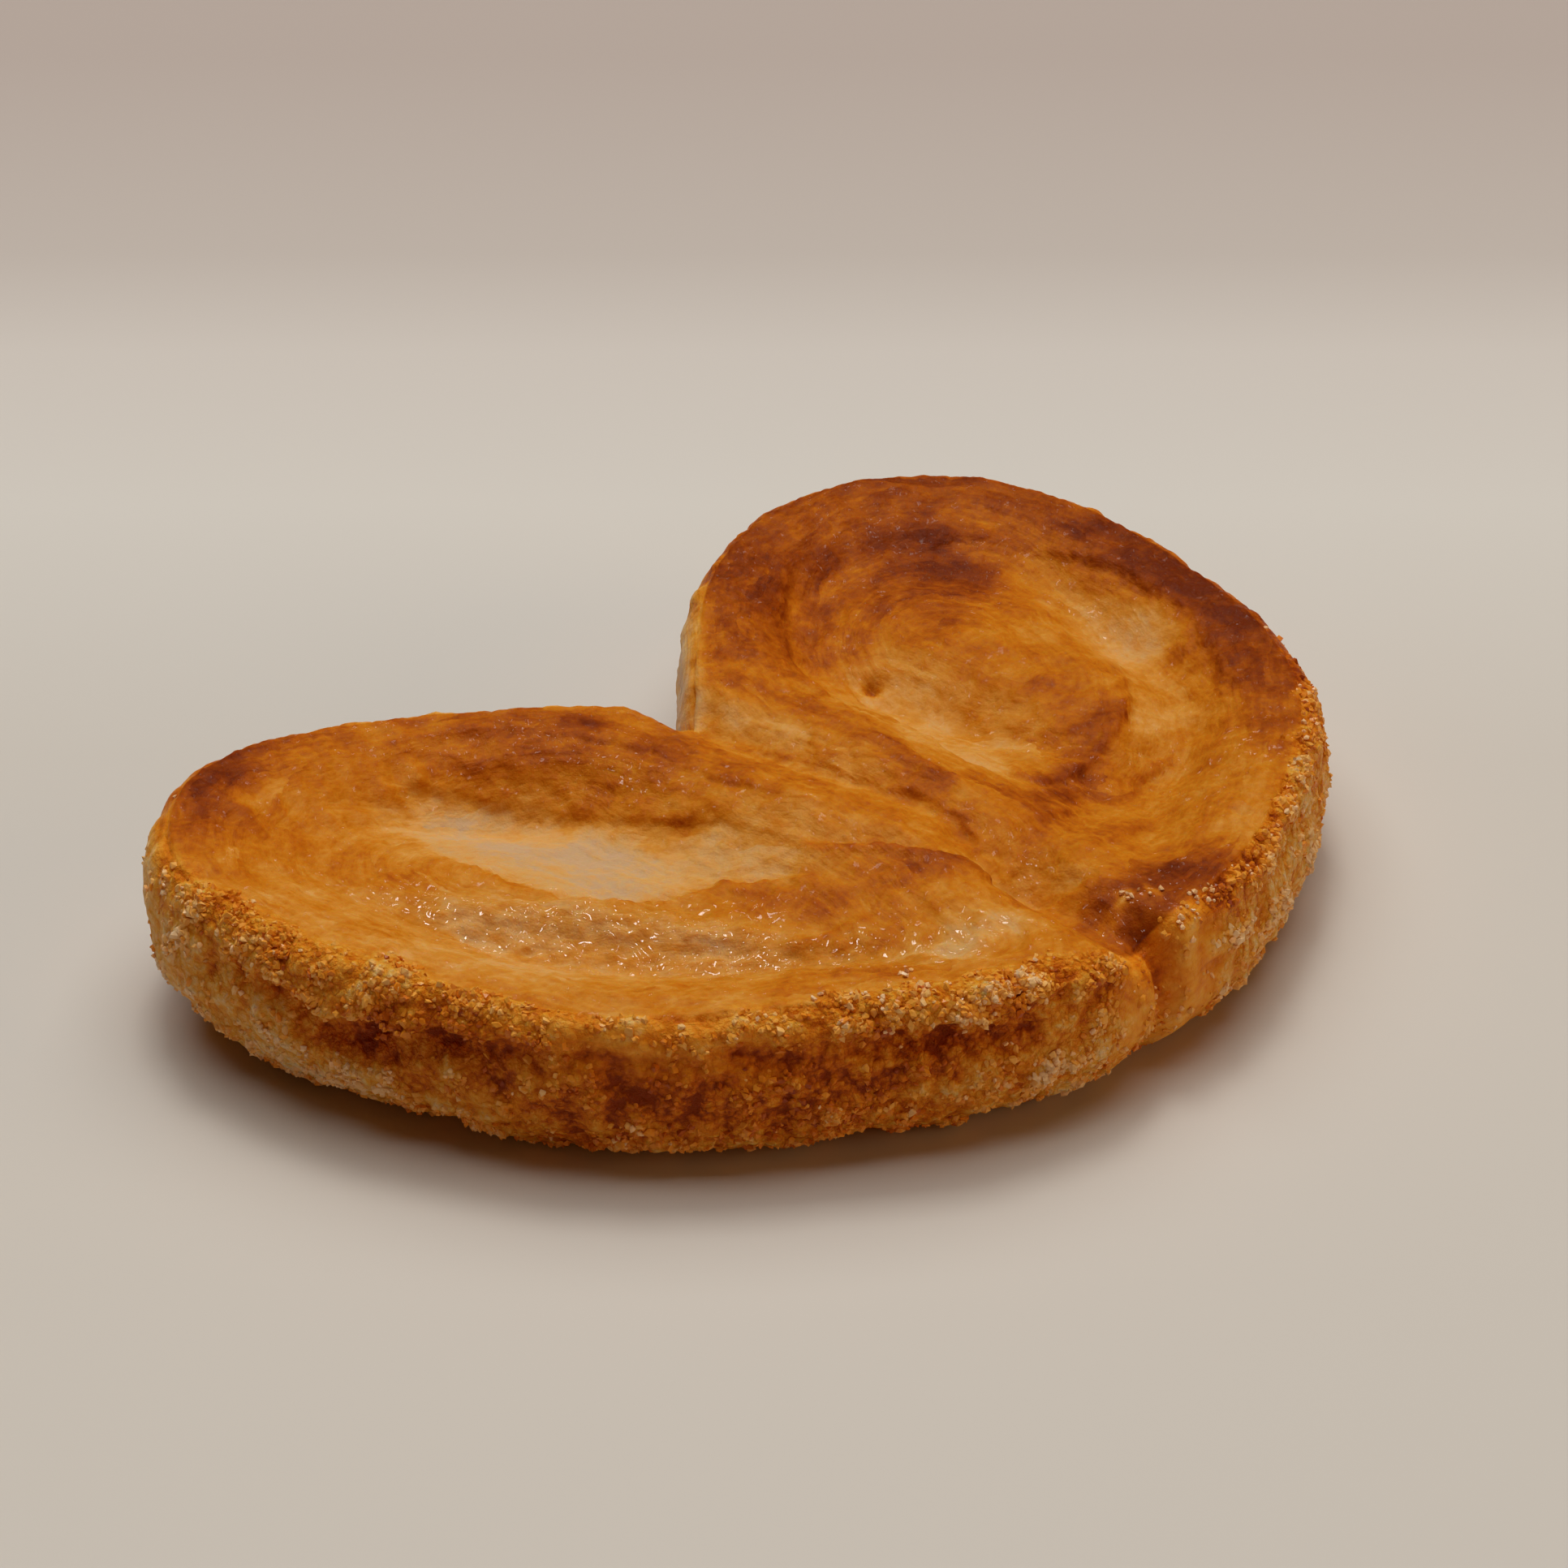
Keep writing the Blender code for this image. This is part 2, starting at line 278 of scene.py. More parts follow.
def lobePoints(lobe, across, along, level):
    # a square slab, each way -1 to 1: level 1 is the coiled face, -1 the foot, and between them the wall
    size = np.maximum(np.abs(across), np.abs(along))
    safe = np.where(size > 0.0, size, 1.0)
    rimAcross, rimAlong = np.round(across / safe, 9), np.round(along / safe, 9)
    turn = np.abs(level) * 0.5 * np.pi
    roundness = np.where(level > 0.0, heart["topRoundness"], heart["bottomRoundness"])
    out = np.cos(turn) ** (2.0 / roundness)
    rise = np.sin(turn) ** (2.0 / roundness)
    inset = np.where(level > 0.0, heart["topInset"], heart["bottomInset"]) * (1.0 - out)
    rimX, rimY, run = rimPoint(lobe, rimAcross, rimAlong, inset)
    x = lobe["centre"][0] * (1.0 - size) + rimX * size
    y = lobe["centre"][1] * (1.0 - size) + rimY * size
    faceX, faceY, _ = rimPoint(lobe, rimAcross, rimAlong, heart["topInset"])
    footX, footY, _ = rimPoint(lobe, rimAcross, rimAlong, heart["bottomInset"])
    onWall = np.abs(level) < 1.0
    top = topHeight(lobe, np.where(onWall, faceX, x), np.where(onWall, faceY, y))
    bottom = bottomHeight(lobe, np.where(onWall, footX, x), np.where(onWall, footY, y))
    middle = bottom + heart["widestAt"] * (top - bottom)
    z = middle + np.where(level > 0.0, top - middle, bottom - middle) * rise
    pushedIn = np.where(onWall, 0.6, 0.6 * smoothStep(0.85, 1.0, size))
    notch = splitDepth(lobe, x, y - heart["pointY"]) * pushedIn
    return xyz(lobe["side"] * x, y + notch, z), run


def makeMesh(name, points, faces, material, smooth=True):
    # faces is a list of arrays, one for each number of corners
    mesh = bpy.data.meshes.new(name)
    corners = np.concatenate([group.ravel() for group in faces])
    counts = np.concatenate([np.full(len(group), group.shape[1]) for group in faces])
    mesh.vertices.add(len(points))
    mesh.vertices.foreach_set("co", (points * 0.001).astype(np.float32).ravel())
    mesh.loops.add(len(corners))
    mesh.loops.foreach_set("vertex_index", corners.astype(np.int32))
    mesh.polygons.add(len(counts))
    mesh.polygons.foreach_set("loop_start", (np.cumsum(counts) - counts).astype(np.int32))
    mesh.polygons.foreach_set("use_smooth", np.full(len(counts), smooth))
    mesh.update(calc_edges=True)
    mesh.validate()
    mesh.materials.append(material)
    piece = bpy.data.objects.new(name, mesh)
    bpy.context.scene.collection.objects.link(piece)
    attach(piece, "root")
    triangles = int((counts - 2).sum())
    print(f"{name}: {triangles} triangles")
    return piece


def addAttribute(piece, name, values):
    kind, field = ("FLOAT", "value") if values.ndim == 1 else ("FLOAT_VECTOR", "vector")
    layer = piece.data.attributes.new(name, kind, "POINT")
    layer.data.foreach_set(field, values.astype(np.float32).ravel())


def vertexNormals(points, faces):
    # each corner gets the face's area-weighted normal, from its diagonals
    total = np.zeros_like(points)
    for group in faces:
        first, second, third, last = (points[group[:, k]] for k in (0, 1, 2, -1))
        normal = np.cross(third - first, last - second)
        for column in group.T:
            for axis in range(3):
                total[:, axis] += np.bincount(column, normal[:, axis], len(points))
    return total / np.maximum(np.linalg.norm(total, axis=1), 1e-12)[:, None]


pastry = {
    "cells": 160,      # across one lobe of the coiled face
    "rows": 42,        # down the wall
    "footCells": 40,   # across one lobe of the underside, a divisor of cells
}


def squareLoop(cells):
    # the edge of a sheet of 2*cells by cells, anticlockwise from its lower left, as columns and rows
    wide, tall = 2 * cells, cells
    across, up = np.arange(wide), np.arange(tall)
    column = np.concatenate([across, np.full(tall, wide), wide - across, np.zeros(tall, int)])
    row = np.concatenate([np.zeros(wide, int), up, np.full(wide, tall), tall - up])
    return column, row


def sheetFaces(cells, start):
    index = start + np.arange((2 * cells + 1) * (cells + 1)).reshape(cells + 1, 2 * cells + 1)
    corners = [index[:-1, :-1], index[:-1, 1:], index[1:, 1:], index[1:, :-1]]
    return np.stack(corners, axis=-1).reshape(-1, 4)


def pastryGrid():
    # one closed skin: a fine sheet on top, rings down the wall, and a coarser sheet below
    fine, coarse, rows = pastry["cells"], pastry["footCells"], pastry["rows"]
    ratio = fine // coarse

    def sheet(cells, level):
        u, v = np.meshgrid(np.linspace(-1.0, 1.0, 2 * cells + 1), np.linspace(-1.0, 1.0, cells + 1))
        return xyz(u.ravel(), v.ravel(), level)

    topSheet, footSheet = sheet(fine, 1.0), sheet(coarse, -1.0)
    column, row = squareLoop(fine)
    loop = row * (2 * fine + 1) + column
    around = len(loop)
    rings = [topSheet[loop] * (1.0, 1.0, 0.0) + (0.0, 0.0, 1.0 - 2.0 * k / rows) for k in range(1, rows)]
    points = np.concatenate([topSheet] + rings + [footSheet])
    faces = [sheetFaces(fine, 0)]
    below = len(topSheet) + np.arange(around * (rows - 1)).reshape(rows - 1, around)
    wall = np.concatenate([[loop], below])
    after = np.roll(wall, -1, axis=1)
    faces.append(np.stack([wall[:-1], wall[1:], after[1:], after[:-1]], axis=-1).reshape(-1, 4))
    footStart = len(topSheet) + around * (rows - 1)
    faces.append(sheetFaces(coarse, footStart)[:, ::-1])
    column, row = squareLoop(coarse)
    foot = footStart + row * (2 * coarse + 1) + column
    nextFoot, last, after = np.roll(foot, -1), wall[-1], after[-1]
    fans = [np.stack([foot, nextFoot, last[ratio // 2::ratio]], axis=-1)]
    for k in range(ratio):
        hub = foot if k < ratio // 2 else nextFoot
        fans.append(np.stack([last[k::ratio], hub, after[k::ratio]], axis=-1))
    return points, faces, np.concatenate(fans)


def placeGrid(grid):
    points, run, x, y = np.zeros_like(grid), np.zeros(len(grid)), grid[:, 0], np.round(grid[:, 1], 9)
    for lobe in (leftLobe, rightLobe):
        own = lobe["side"] * x >= -1e-9
        across = np.round(2.0 * np.abs(x[own]) - 1.0, 9)
        points[own], run[own] = lobePoints(lobe, across, y[own], grid[own, 2])
    return points, run


grid, quads, fans = pastryGrid()
skinFaces = quads + [fans]
plain, run = placeGrid(grid)
packed = np.array(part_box("pastry")) * 1000.0
toPacked = np.append(0.5 * (packed[0] + packed[1])[:2] - 0.5 * (plain.min(0) + plain.max(0))[:2], 0.0)
print("skin laid out")


def surfaceSkin():
    # where each point of the skin lies on the pastry
    x, y, z = plain.T
    outer = np.zeros(len(x))
    for lobe in (leftLobe, rightLobe):
        own = (x < 0.0) == (lobe["side"] < 0)
        outer[own] = edgeDistance(lobe, np.abs(x[own]), y[own])
    level = grid[:, 2]
    nearest = nearestEdge(np.abs(seamValley(x, y)), outer)
    across = np.where(level >= 1.0, nearest, heart["topInset"] - 6.0 * (1.0 - level))
    return {
        "x": x, "y": y, "z": z, "level": level, "run": run, "outer": outer, "across": across,
        "side": np.where(x < 0.0, -1.0, 1.0), "onTop": level >= 1.0, "onFoot": level <= -1.0,
    }


skin = surfaceSkin()


def bySide(left, right):
    return np.where(skin["side"] < 0.0, left, right)


def exceptFoot(amount):
    # one everywhere but on the underside
    return np.where(skin["onFoot"], amount, 1.0)


# Each edge: the places it passes through, how far it drops, how far the dip reaches, the side that
# falls, and how unbroken it is.
layerEdges = {
    "outer ribbon, left": (
        ((-30, 39), (-26.5, 31.5), (-22.2, 26.1), (-17, 20), (-12, 17), (-7, 14)),
        0.28, 2.2, "left", 0.2),
    "inner ribbon, left": (
        ((-21.6, 45), (-21.2, 38.6), (-20.2, 33.4), (-18.4, 28.8), (-15.4, 26.6), (-12.2, 25.2),
         (-9.4, 22.6), (-6.6, 18.8)),
        0.40, 2.0, "left", 0.6),
    "hollow's far side": (
        ((-21.5, 46.5), (-17, 45.8), (-12.9, 41), (-10.6, 36.5), (-8.1, 30), (-6.6, 24)),
        0.25, 1.8, "right", 0.3),
    "seam band, left": (
        ((-17, 49.5), (-10, 45), (-6.2, 38), (-5, 30), (-3.6, 24)),
        0.22, 1.5, "right", 0.2),
    "strand by the point": (
        ((-7.5, 25), (-5.2, 21.6), (-3.4, 18.8), (-2.0, 16.2), (-0.6, 14.4), (-0.5, 13.0), (-2.8, 11.5)),
        0.42, 1.2, "left", 0.8),
    "seam": (
        ((-2.5, 41), (0.6, 33), (2.0, 26), (2.8, 19.4), (1.1, 14.8), (1.4, 10.3)),
        0.30, 1.6, "right", 0.3),
    "crack by the point": (
        ((-0.6, 11.6), (0.7, 10.6), (2.1, 8.8), (4, 7.6)),
        0.25, 0.9, "left", 0.8),
    "puffed cell": (
        ((-5.6, 10.9), (-7.8, 10.8), (-9.0, 9.6), (-9.2, 8.1), (-8.1, 6.5), (-6.2, 5.9), (-4.7, 6.3),
         (-3.4, 7.8)),
        0.18, 0.9, "left", 1.0),
    "outer ribbon, right": (
        ((21, 50.4), (14.6, 46.2), (10.4, 40.1), (7.4, 33), (5.6, 24.2), (5.6, 17.8)),
        0.34, 1.9, "left", 0.3),
    "second ribbon, right": (
        ((19, 45.5), (14.6, 41.5), (11.6, 36), (9.6, 29.5), (8.8, 24), (10, 20.5)),
        0.32, 1.6, "left", 0.4),
    "tongue": (
        ((13.4, 25), (10.6, 21.2), (11.8, 19.0), (17.2, 19.3), (22.4, 22), (25.4, 27)),
        0.36, 1.8, "right", 0.4),
    "outer band, right": (
        ((24, 47), (30, 43), (33.3, 36), (33, 28), (29.5, 21), (24, 15.5)),
        0.25, 1.6, "right", 0.3),
    "lower strand, right": (
        ((4, 14.5), (9, 15.4), (15, 15.6), (21, 17), (26, 20.5)),
        0.20, 1.5, "right", 0.2),
    "last strand, right": (
        ((2.6, 9.5), (8, 11), (15, 11.4), (22, 13.6), (27.5, 18)),
        0.18, 1.4, "right", 0.2),
}


def smoothPath(places, steps=14):
    # a curve through the places, whose slope at each is that between its neighbours
    places = np.array(places, float)
    ends = np.concatenate([[2 * places[0] - places[1]], places, [2 * places[-1] - places[-2]]])
    t = np.linspace(0.0, 1.0, steps, endpoint=False)[:, None]
    before, a, b, after = ends[:-3, None], ends[1:-2, None], ends[2:-1, None], ends[3:, None]
    path = 0.5 * (
        2 * a + (b - before) * t + (2 * before - 5 * a + 4 * b - after) * t ** 2
        + (3 * a - before - 3 * b + after) * t ** 3
    )
    return np.concatenate([path.reshape(-1, 2), places[-1:]])


def besidePath(x, y, path):
    # signed distance from the path, positive on its right, and how far along the path that is
    gap, share = np.full(len(x), 1e6), np.zeros(len(x))
    for k in range(len(path) - 1):
        wayX, wayY = path[k + 1] - path[k]
        length = wayX * wayX + wayY * wayY
        along = np.clip(((x - path[k, 0]) * wayX + (y - path[k, 1]) * wayY) / length, 0.0, 1.0)
        offX, offY = x - path[k, 0] - along * wayX, y - path[k, 1] - along * wayY
        apart = np.hypot(offX, offY)
        right = np.where(wayY * offX - wayX * offY > 0.0, 1.0, -1.0)
        closer = apart < np.abs(gap)
        gap = np.where(closer, right * apart, gap)
        share = np.where(closer, (k + along) / (len(path) - 1), share)
    return gap, share


def layerSteps(x, y, wobble, broken):
    # one layer's edge: a small raised lip, a sharp drop beside it, and a slow rise back to the face
    height, tint = np.zeros(len(x)), np.zeros(len(x))
    for places, drop, reach, falls, kept in layerEdges.values():
        gap, share = besidePath(x, y, smoothPath(places))
        gap = (gap if falls == "right" else -gap) + wobble
        ends = smoothStep(0.0, 0.2, share) * smoothStep(1.0, 0.8, share) * (kept + (1.0 - kept) * broken)
        fall = smoothStep(-0.25, 0.25, gap) * np.exp(-np.maximum(gap, 0.0) / reach)
        lip = 0.5 * bell(gap + 0.5, 0.6)
        height += drop * ends * (lip - fall)
        # the ribbon's own edge is browner than the pale layer it lies on, and the dark line at the foot of
        # the drop is painted shade in the crease
        jump = smoothStep(0.15, -0.15, gap) - 0.5
        tint += drop * ends * (jump * np.exp(-np.abs(gap) / reach) + 0.5 * bell(gap - 0.15, 0.35))
    return height, tint


# How dark the coiled face is baked: 0 is cream, 0.5 golden, 1 dark brown.
bakedSpots = {
    # each spot: place, half length, half width, direction, how much darker
    "left coil's hollow": (
        (-15.0, 36.5, 10.5, 4.4, 119, -0.34), (-12.8, 33.0, 6.0, 3.4, 112, -0.12),
        # the darker spot at (-10.8, 35.6), on the hollow's steep side that faces away from the light, is
        # partly browning and partly painted shade
        (-17.0, 42.5, 3.0, 2.4, 130, -0.10), (-10.8, 35.6, 6.5, 1.7, 113, 0.16),
        (-16.2, 46.6, 4.5, 1.8, -22, 0.20), (-12.8, 40.2, 1.6, 1.4, 120, -0.12),
    ),
    "left coil's ridge": (
        (-9.6, 19.4, 4.0, 2.4, -35, 0.16), (-16.6, 30.2, 3.4, 2.4, 115, -0.20),
        (-14.6, 23.6, 5.0, 1.7, -42, 0.12), (-6.6, 27.4, 3.0, 2.0, 110, -0.14),
        (-9.2, 25.8, 2.6, 1.4, 115, -0.11), (-17.3, 21.8, 4.5, 1.5, 128, -0.04),
        (-7.8, 21.5, 4.0, 1.6, 120, -0.05), (-14.0, 17.6, 4.0, 1.5, 130, -0.10),
    ),
    "glazed groove": (
        (-21.5, 26.5, 11.0, 4.6, 128, -0.15), (-28.8, 26.5, 5.0, 2.4, 125, -0.07),
        (-22.4, 30.2, 1.8, 1.2, 120, -0.12), (-29.4, 26.1, 6.0, 1.8, 125, -0.07),
        (-24.2, 23.2, 7.0, 1.6, 128, -0.08), (-22.0, 29.0, 8.0, 1.8, 128, -0.06),
    ),
    "left band beside the seam": (
        (-6.6, 35.5, 11.5, 4.2, 108, 0.16), (-9.2, 42.6, 4.5, 2.0, 125, 0.12),
        (-6.0, 43.3, 1.7, 1.2, 120, 0.22), (-4.0, 38.6, 2.4, 1.6, 110, 0.06),
        (-6.0, 39.5, 2.2, 2.6, 120, -0.06), (-9.8, 34.7, 2.4, 1.4, 113, -0.12),
        # the darker spot at (-10.4, 32.0), on the hollow's side away from the light, is partly browning and
        # partly painted shade
        (-10.4, 32.0, 2.6, 1.2, 115, 0.10),
    ),
    "left lobe's far end": (
        (-30.0, 48.5, 8.0, 4.0, 28, 0.14), (-16.0, 50.0, 7.0, 2.4, -20, 0.10),
        (-27.5, 43.0, 3.5, 2.0, 70, 0.06), (-32.0, 37.0, 3.0, 2.0, 100, -0.05),
        (-25.2, 39.2, 2.4, 1.6, 60, 0.10), (-21.2, 47.0, 3.2, 1.3, 10, 0.10),
        (-17.2, 48.2, 3.5, 1.6, -20, -0.10), (-30.5, 50.6, 5.5, 1.8, 30, 0.16),
    ),
    "left side of the point": (
        (-7.5, 8.6, 3.8, 2.1, -8, -0.22), (-3.6, 16.0, 3.6, 2.6, -20, 0.18),
        (-10.0, 14.6, 5.5, 1.8, -50, 0.14), (-12.0, 8.4, 4.5, 1.8, -42, 0.12),
        (-10.2, 14.8, 1.8, 1.2, 130, -0.12), (0.6, 17.8, 3.0, 1.2, 95, 0.07),
        (-6.2, 8.5, 3.0, 1.6, -8, -0.09),
    ),
    "right lobe's far end": (
        (20.0, 46.5, 14.5, 7.5, 8, 0.17), (26.0, 44.0, 5.0, 3.0, 100, 0.10),
        (9.0, 45.0, 5.0, 3.0, 50, 0.10), (28.0, 41.5, 5.5, 2.6, 84, 0.10),
        (17.9, 49.6, 6.0, 2.2, -8, 0.10), (27.5, 44.2, 4.0, 2.0, 80, 0.10),
        (21.0, 38.3, 3.6, 2.2, 85, 0.12), (24.2, 38.6, 3.0, 2.4, 80, 0.10),
        (11.0, 48.6, 3.0, 1.2, 45, -0.14), (26.8, 44.0, 4.0, 3.0, 80, 0.07),
    ),
    "right outer band": (
        (34.6, 30.5, 10.0, 2.6, 86, 0.23), (30.6, 20.5, 4.5, 2.4, 55, 0.24),
        (29.0, 30.0, 7.5, 3.0, 82, -0.20), (29.6, 24.6, 2.2, 1.5, 60, 0.16),
        (29.4, 27.6, 3.0, 2.0, 90, -0.14), (30.6, 28.6, 6.5, 0.9, 86, -0.08),
        (35.0, 26.0, 6.0, 1.6, 80, 0.14), (31.4, 27.5, 1.8, 1.4, 80, -0.12),
        (35.4, 38.5, 6.0, 1.6, 105, 0.10), (31.9, 18.8, 3.0, 1.6, 55, -0.07),
    ),
    "right coil": (
        (11.4, 31.0, 9.5, 3.2, 100, -0.23), (15.0, 36.0, 3.0, 1.8, 90, -0.15),
        (9.0, 25.0, 3.8, 1.7, 105, -0.16), (9.2, 38.6, 2.6, 1.6, 60, 0.13),
        (13.2, 33.0, 5.5, 1.1, 98, -0.10), (15.2, 31.5, 4.5, 1.5, 95, -0.10),
        # the small dark spot below is painted shade in the hole there
        (13.5, 36.7, 0.7, 0.45, 100, 0.40),
    ),
    "near strands, right": (
        (22.5, 19.0, 4.5, 2.2, 30, -0.16), (11.4, 18.0, 5.0, 1.9, 4, 0.18),
        (8.0, 11.5, 3.0, 1.8, 20, 0.07), (14.0, 5.2, 3.0, 1.6, 15, -0.12),
        (17.8, 21.2, 2.4, 1.5, 60, 0.12), (26.2, 14.6, 4.0, 1.5, 38, 0.13),
        (6.6, 15.0, 3.6, 1.3, 2, 0.12), (12.0, 18.4, 4.0, 1.4, 10, 0.10),
        (24.8, 10.8, 3.5, 2.0, 45, 0.12), (22.4, 22.6, 2.0, 1.4, 60, -0.09),
        (12.3, 10.7, 6.0, 1.6, 15, -0.06),
    ),
    "right side of the point": (
        (5.6, 4.6, 5.5, 2.6, 2, 0.20), (2.6, 12.3, 2.2, 1.5, 40, -0.05), (4.4, 2.6, 6.0, 1.6, 4, 0.12),
        (-2.2, 5.8, 3.4, 1.8, 20, 0.07), (5.6, 5.3, 4.6, 1.6, -14, 0.14), (0.6, 3.6, 2.6, 2.0, 60, 0.04),
        (2.6, 5.3, 1.0, 0.32, 12, -0.50), (4.2, 4.4, 0.8, 0.28, 60, -0.45),
        (-1.4, 7.6, 4.0, 1.4, 110, 0.10), (2.7, 2.4, 3.0, 1.5, 5, 0.04),
    ),
    "along the seam": (
        (2.2, 34.0, 7.5, 1.5, 92, -0.17), (5.2, 29.0, 11.5, 1.5, 88, 0.09),
        (2.3, 36.5, 4.0, 1.2, 90, -0.12), (-2.0, 31.0, 9.0, 1.3, 93, 0.07),
    ),
}

coiledTop = {
    "leftBake": 0.45, "rightBake": 0.54, "blend": 5.0,
    "relief": {            # how wide and how high, mm; domes and beads are syrup in the glazed grooves
        "swell": (7.0, 0.22), "strands": (1.9, 0.22), "lumps": (1.9, 0.22), "grain": (0.7, 0.10),
        "domes": (1.7, 0.34), "beads": (0.8, 0.20),
    },
}
# Small things on the coiled face: place, radius, height.
blisters = (
    (-19.6, 46.6, 0.9, 0.40), (-17.0, 46.9, 0.8, 0.35), (-22.3, 45.8, 0.7, 0.35), (-24.6, 46.2, 0.7, 0.30),
    (-29.5, 48.3, 0.7, 0.25), (13.5, 36.7, 0.6, -0.70), (-8.4, 9.6, 0.7, 0.35), (-7.0, 7.6, 0.9, 0.45),
    (-5.5, 9.2, 0.8, 0.40), (-10.2, 9.4, 0.6, 0.30), (-20.6, 40.8, 0.5, 0.25), (-20.4, 36.6, 0.5, 0.25),
    (-19.2, 31.6, 0.6, 0.30), (-17.4, 28.3, 0.6, 0.25), (-14.4, 27.0, 0.5, 0.25), (-11.4, 25.0, 0.6, 0.25),
)
# Where melted sugar pooled: place, half length, half width, direction, how wet.
glazedPools = (
    (-21.0, 26.0, 11.5, 2.7, 128, 1.0), (-8.0, 9.4, 5.0, 1.9, -18, 0.7), (-12.0, 14.6, 4.0, 1.8, -45, 0.7),
    (-16.5, 24.6, 6.0, 1.6, -40, 0.4), (12.0, 27.0, 6.0, 2.0, 100, 0.25), (20.0, 12.0, 6.0, 2.0, 15, 0.2),
    (4.5, 4.8, 3.0, 1.6, 10, 0.45), (-25.8, 33.6, 2.2, 1.6, 60, 0.5), (-27.5, 37.5, 6.0, 2.0, 118, 0.3),
    (-15.0, 13.0, 8.0, 1.6, 130, 0.3), (2.4, 11.6, 2.6, 1.5, 40, 0.5), (-1.0, 5.0, 3.0, 1.4, 10, 0.4),
    (-7.5, 38.5, 8.0, 1.6, 112, 0.25), (29.5, 33.0, 4.0, 1.4, 85, 0.35),
)


def wideAndHigh(relief):
    return ({name: sizes[k] for name, sizes in relief.items()} for k in (0, 1))


def bakedTop(x, y, run, outer, mottle, streak):
    share = smoothStep(-coiledTop["blend"], coiledTop["blend"], x)
    bake = coiledTop["leftBake"] * (1.0 - share) + coiledTop["rightBake"] * share
    bake = bake + sum(addSpots(x, y, spots) for spots in bakedSpots.values())
    # the rim is browner, most of all round the far ends
    leftRim = 0.30 * bell(run - 33.0, 9.0) + 0.12 * bell(run - 14.0, 6.0)
    rightRim = 0.20 * smoothStep(8.0, 22.0, run) * smoothStep(92.0, 78.0, run)
    rim = np.where(x < 0.0, leftRim, rightRim)
    bake = bake + rim * smoothStep(6.5, 2.0, outer)
    cleftSide = (x > 0.0) * smoothStep(17.0, 9.0, run)
    bake = bake - 0.26 * cleftSide * smoothStep(2.6, 1.4, outer + 0.5 * streak)
    return bake + 0.10 * mottle + 0.10 * streak


def coiledFace(mask):
    x, y, outer, across = (skin[key][mask] for key in ("x", "y", "outer", "across"))
    points = plain[mask]
    wide, high = wideAndHigh(coiledTop["relief"])
    swell = layeredNoise(points, wide["swell"], 2)
    warp = layeredNoise(points, 4.0, 3, shift=5.1)
    # layers run along the ribbon: noise that is short across it and long the other way
    drift = layeredNoise(points, 8.0, 3, shift=14.9)
    strands = xyz((across + 2.4 * drift) / wide["strands"], x / 6.0 + 0.3 * warp, y / 6.0)
    streak = layeredNoise(strands, 1.0, 4, gain=0.6)
    mottle = layeredNoise(points, 2.6, 4, gain=0.6, shift=3.3)
    lumps = layeredNoise(points, wide["lumps"], 2, shift=4.4)
    scallop = layeredNoise(points, 1.2, 2, shift=11.5)
    broken = smoothStep(-0.35, 0.45, layeredNoise(points, 3.4, 3, shift=13.7))
    steps, tint = layerSteps(x, y, 0.7 * warp + 0.35 * scallop, broken)
    glazed = np.clip(addSpots(x + 1.2 * warp, y + 1.2 * swell, glazedPools), 0.0, 1.0)
    domes = grainNoise(points + 0.3 * xyz(warp, -warp, swell), wide["domes"], shift=0.4)
    beads = grainNoise(points, wide["beads"], shift=8.8)
    rough = smoothStep(-0.2, 0.5, layeredNoise(points, 5.0, 2, shift=9.9))
    relief = high["swell"] * swell + high["strands"] * streak + high["lumps"] * lumps + steps
    relief += glazed * high["domes"] * (0.55 - domes)
    relief += (glazed + (1.0 - glazed) * rough) * high["beads"] * (0.5 - beads)
    relief += high["grain"] * layeredNoise(points, wide["grain"], 2, shift=2.2)
    relief += sum(rise * bell(np.hypot(x - atX, y - atY), radius) for atX, atY, radius, rise in blisters)
    bake = bakedTop(x + 0.9 * warp, y + 0.9 * mottle, skin["run"][mask], outer, mottle, streak)
    return relief, bake + 0.9 * tint, glazed
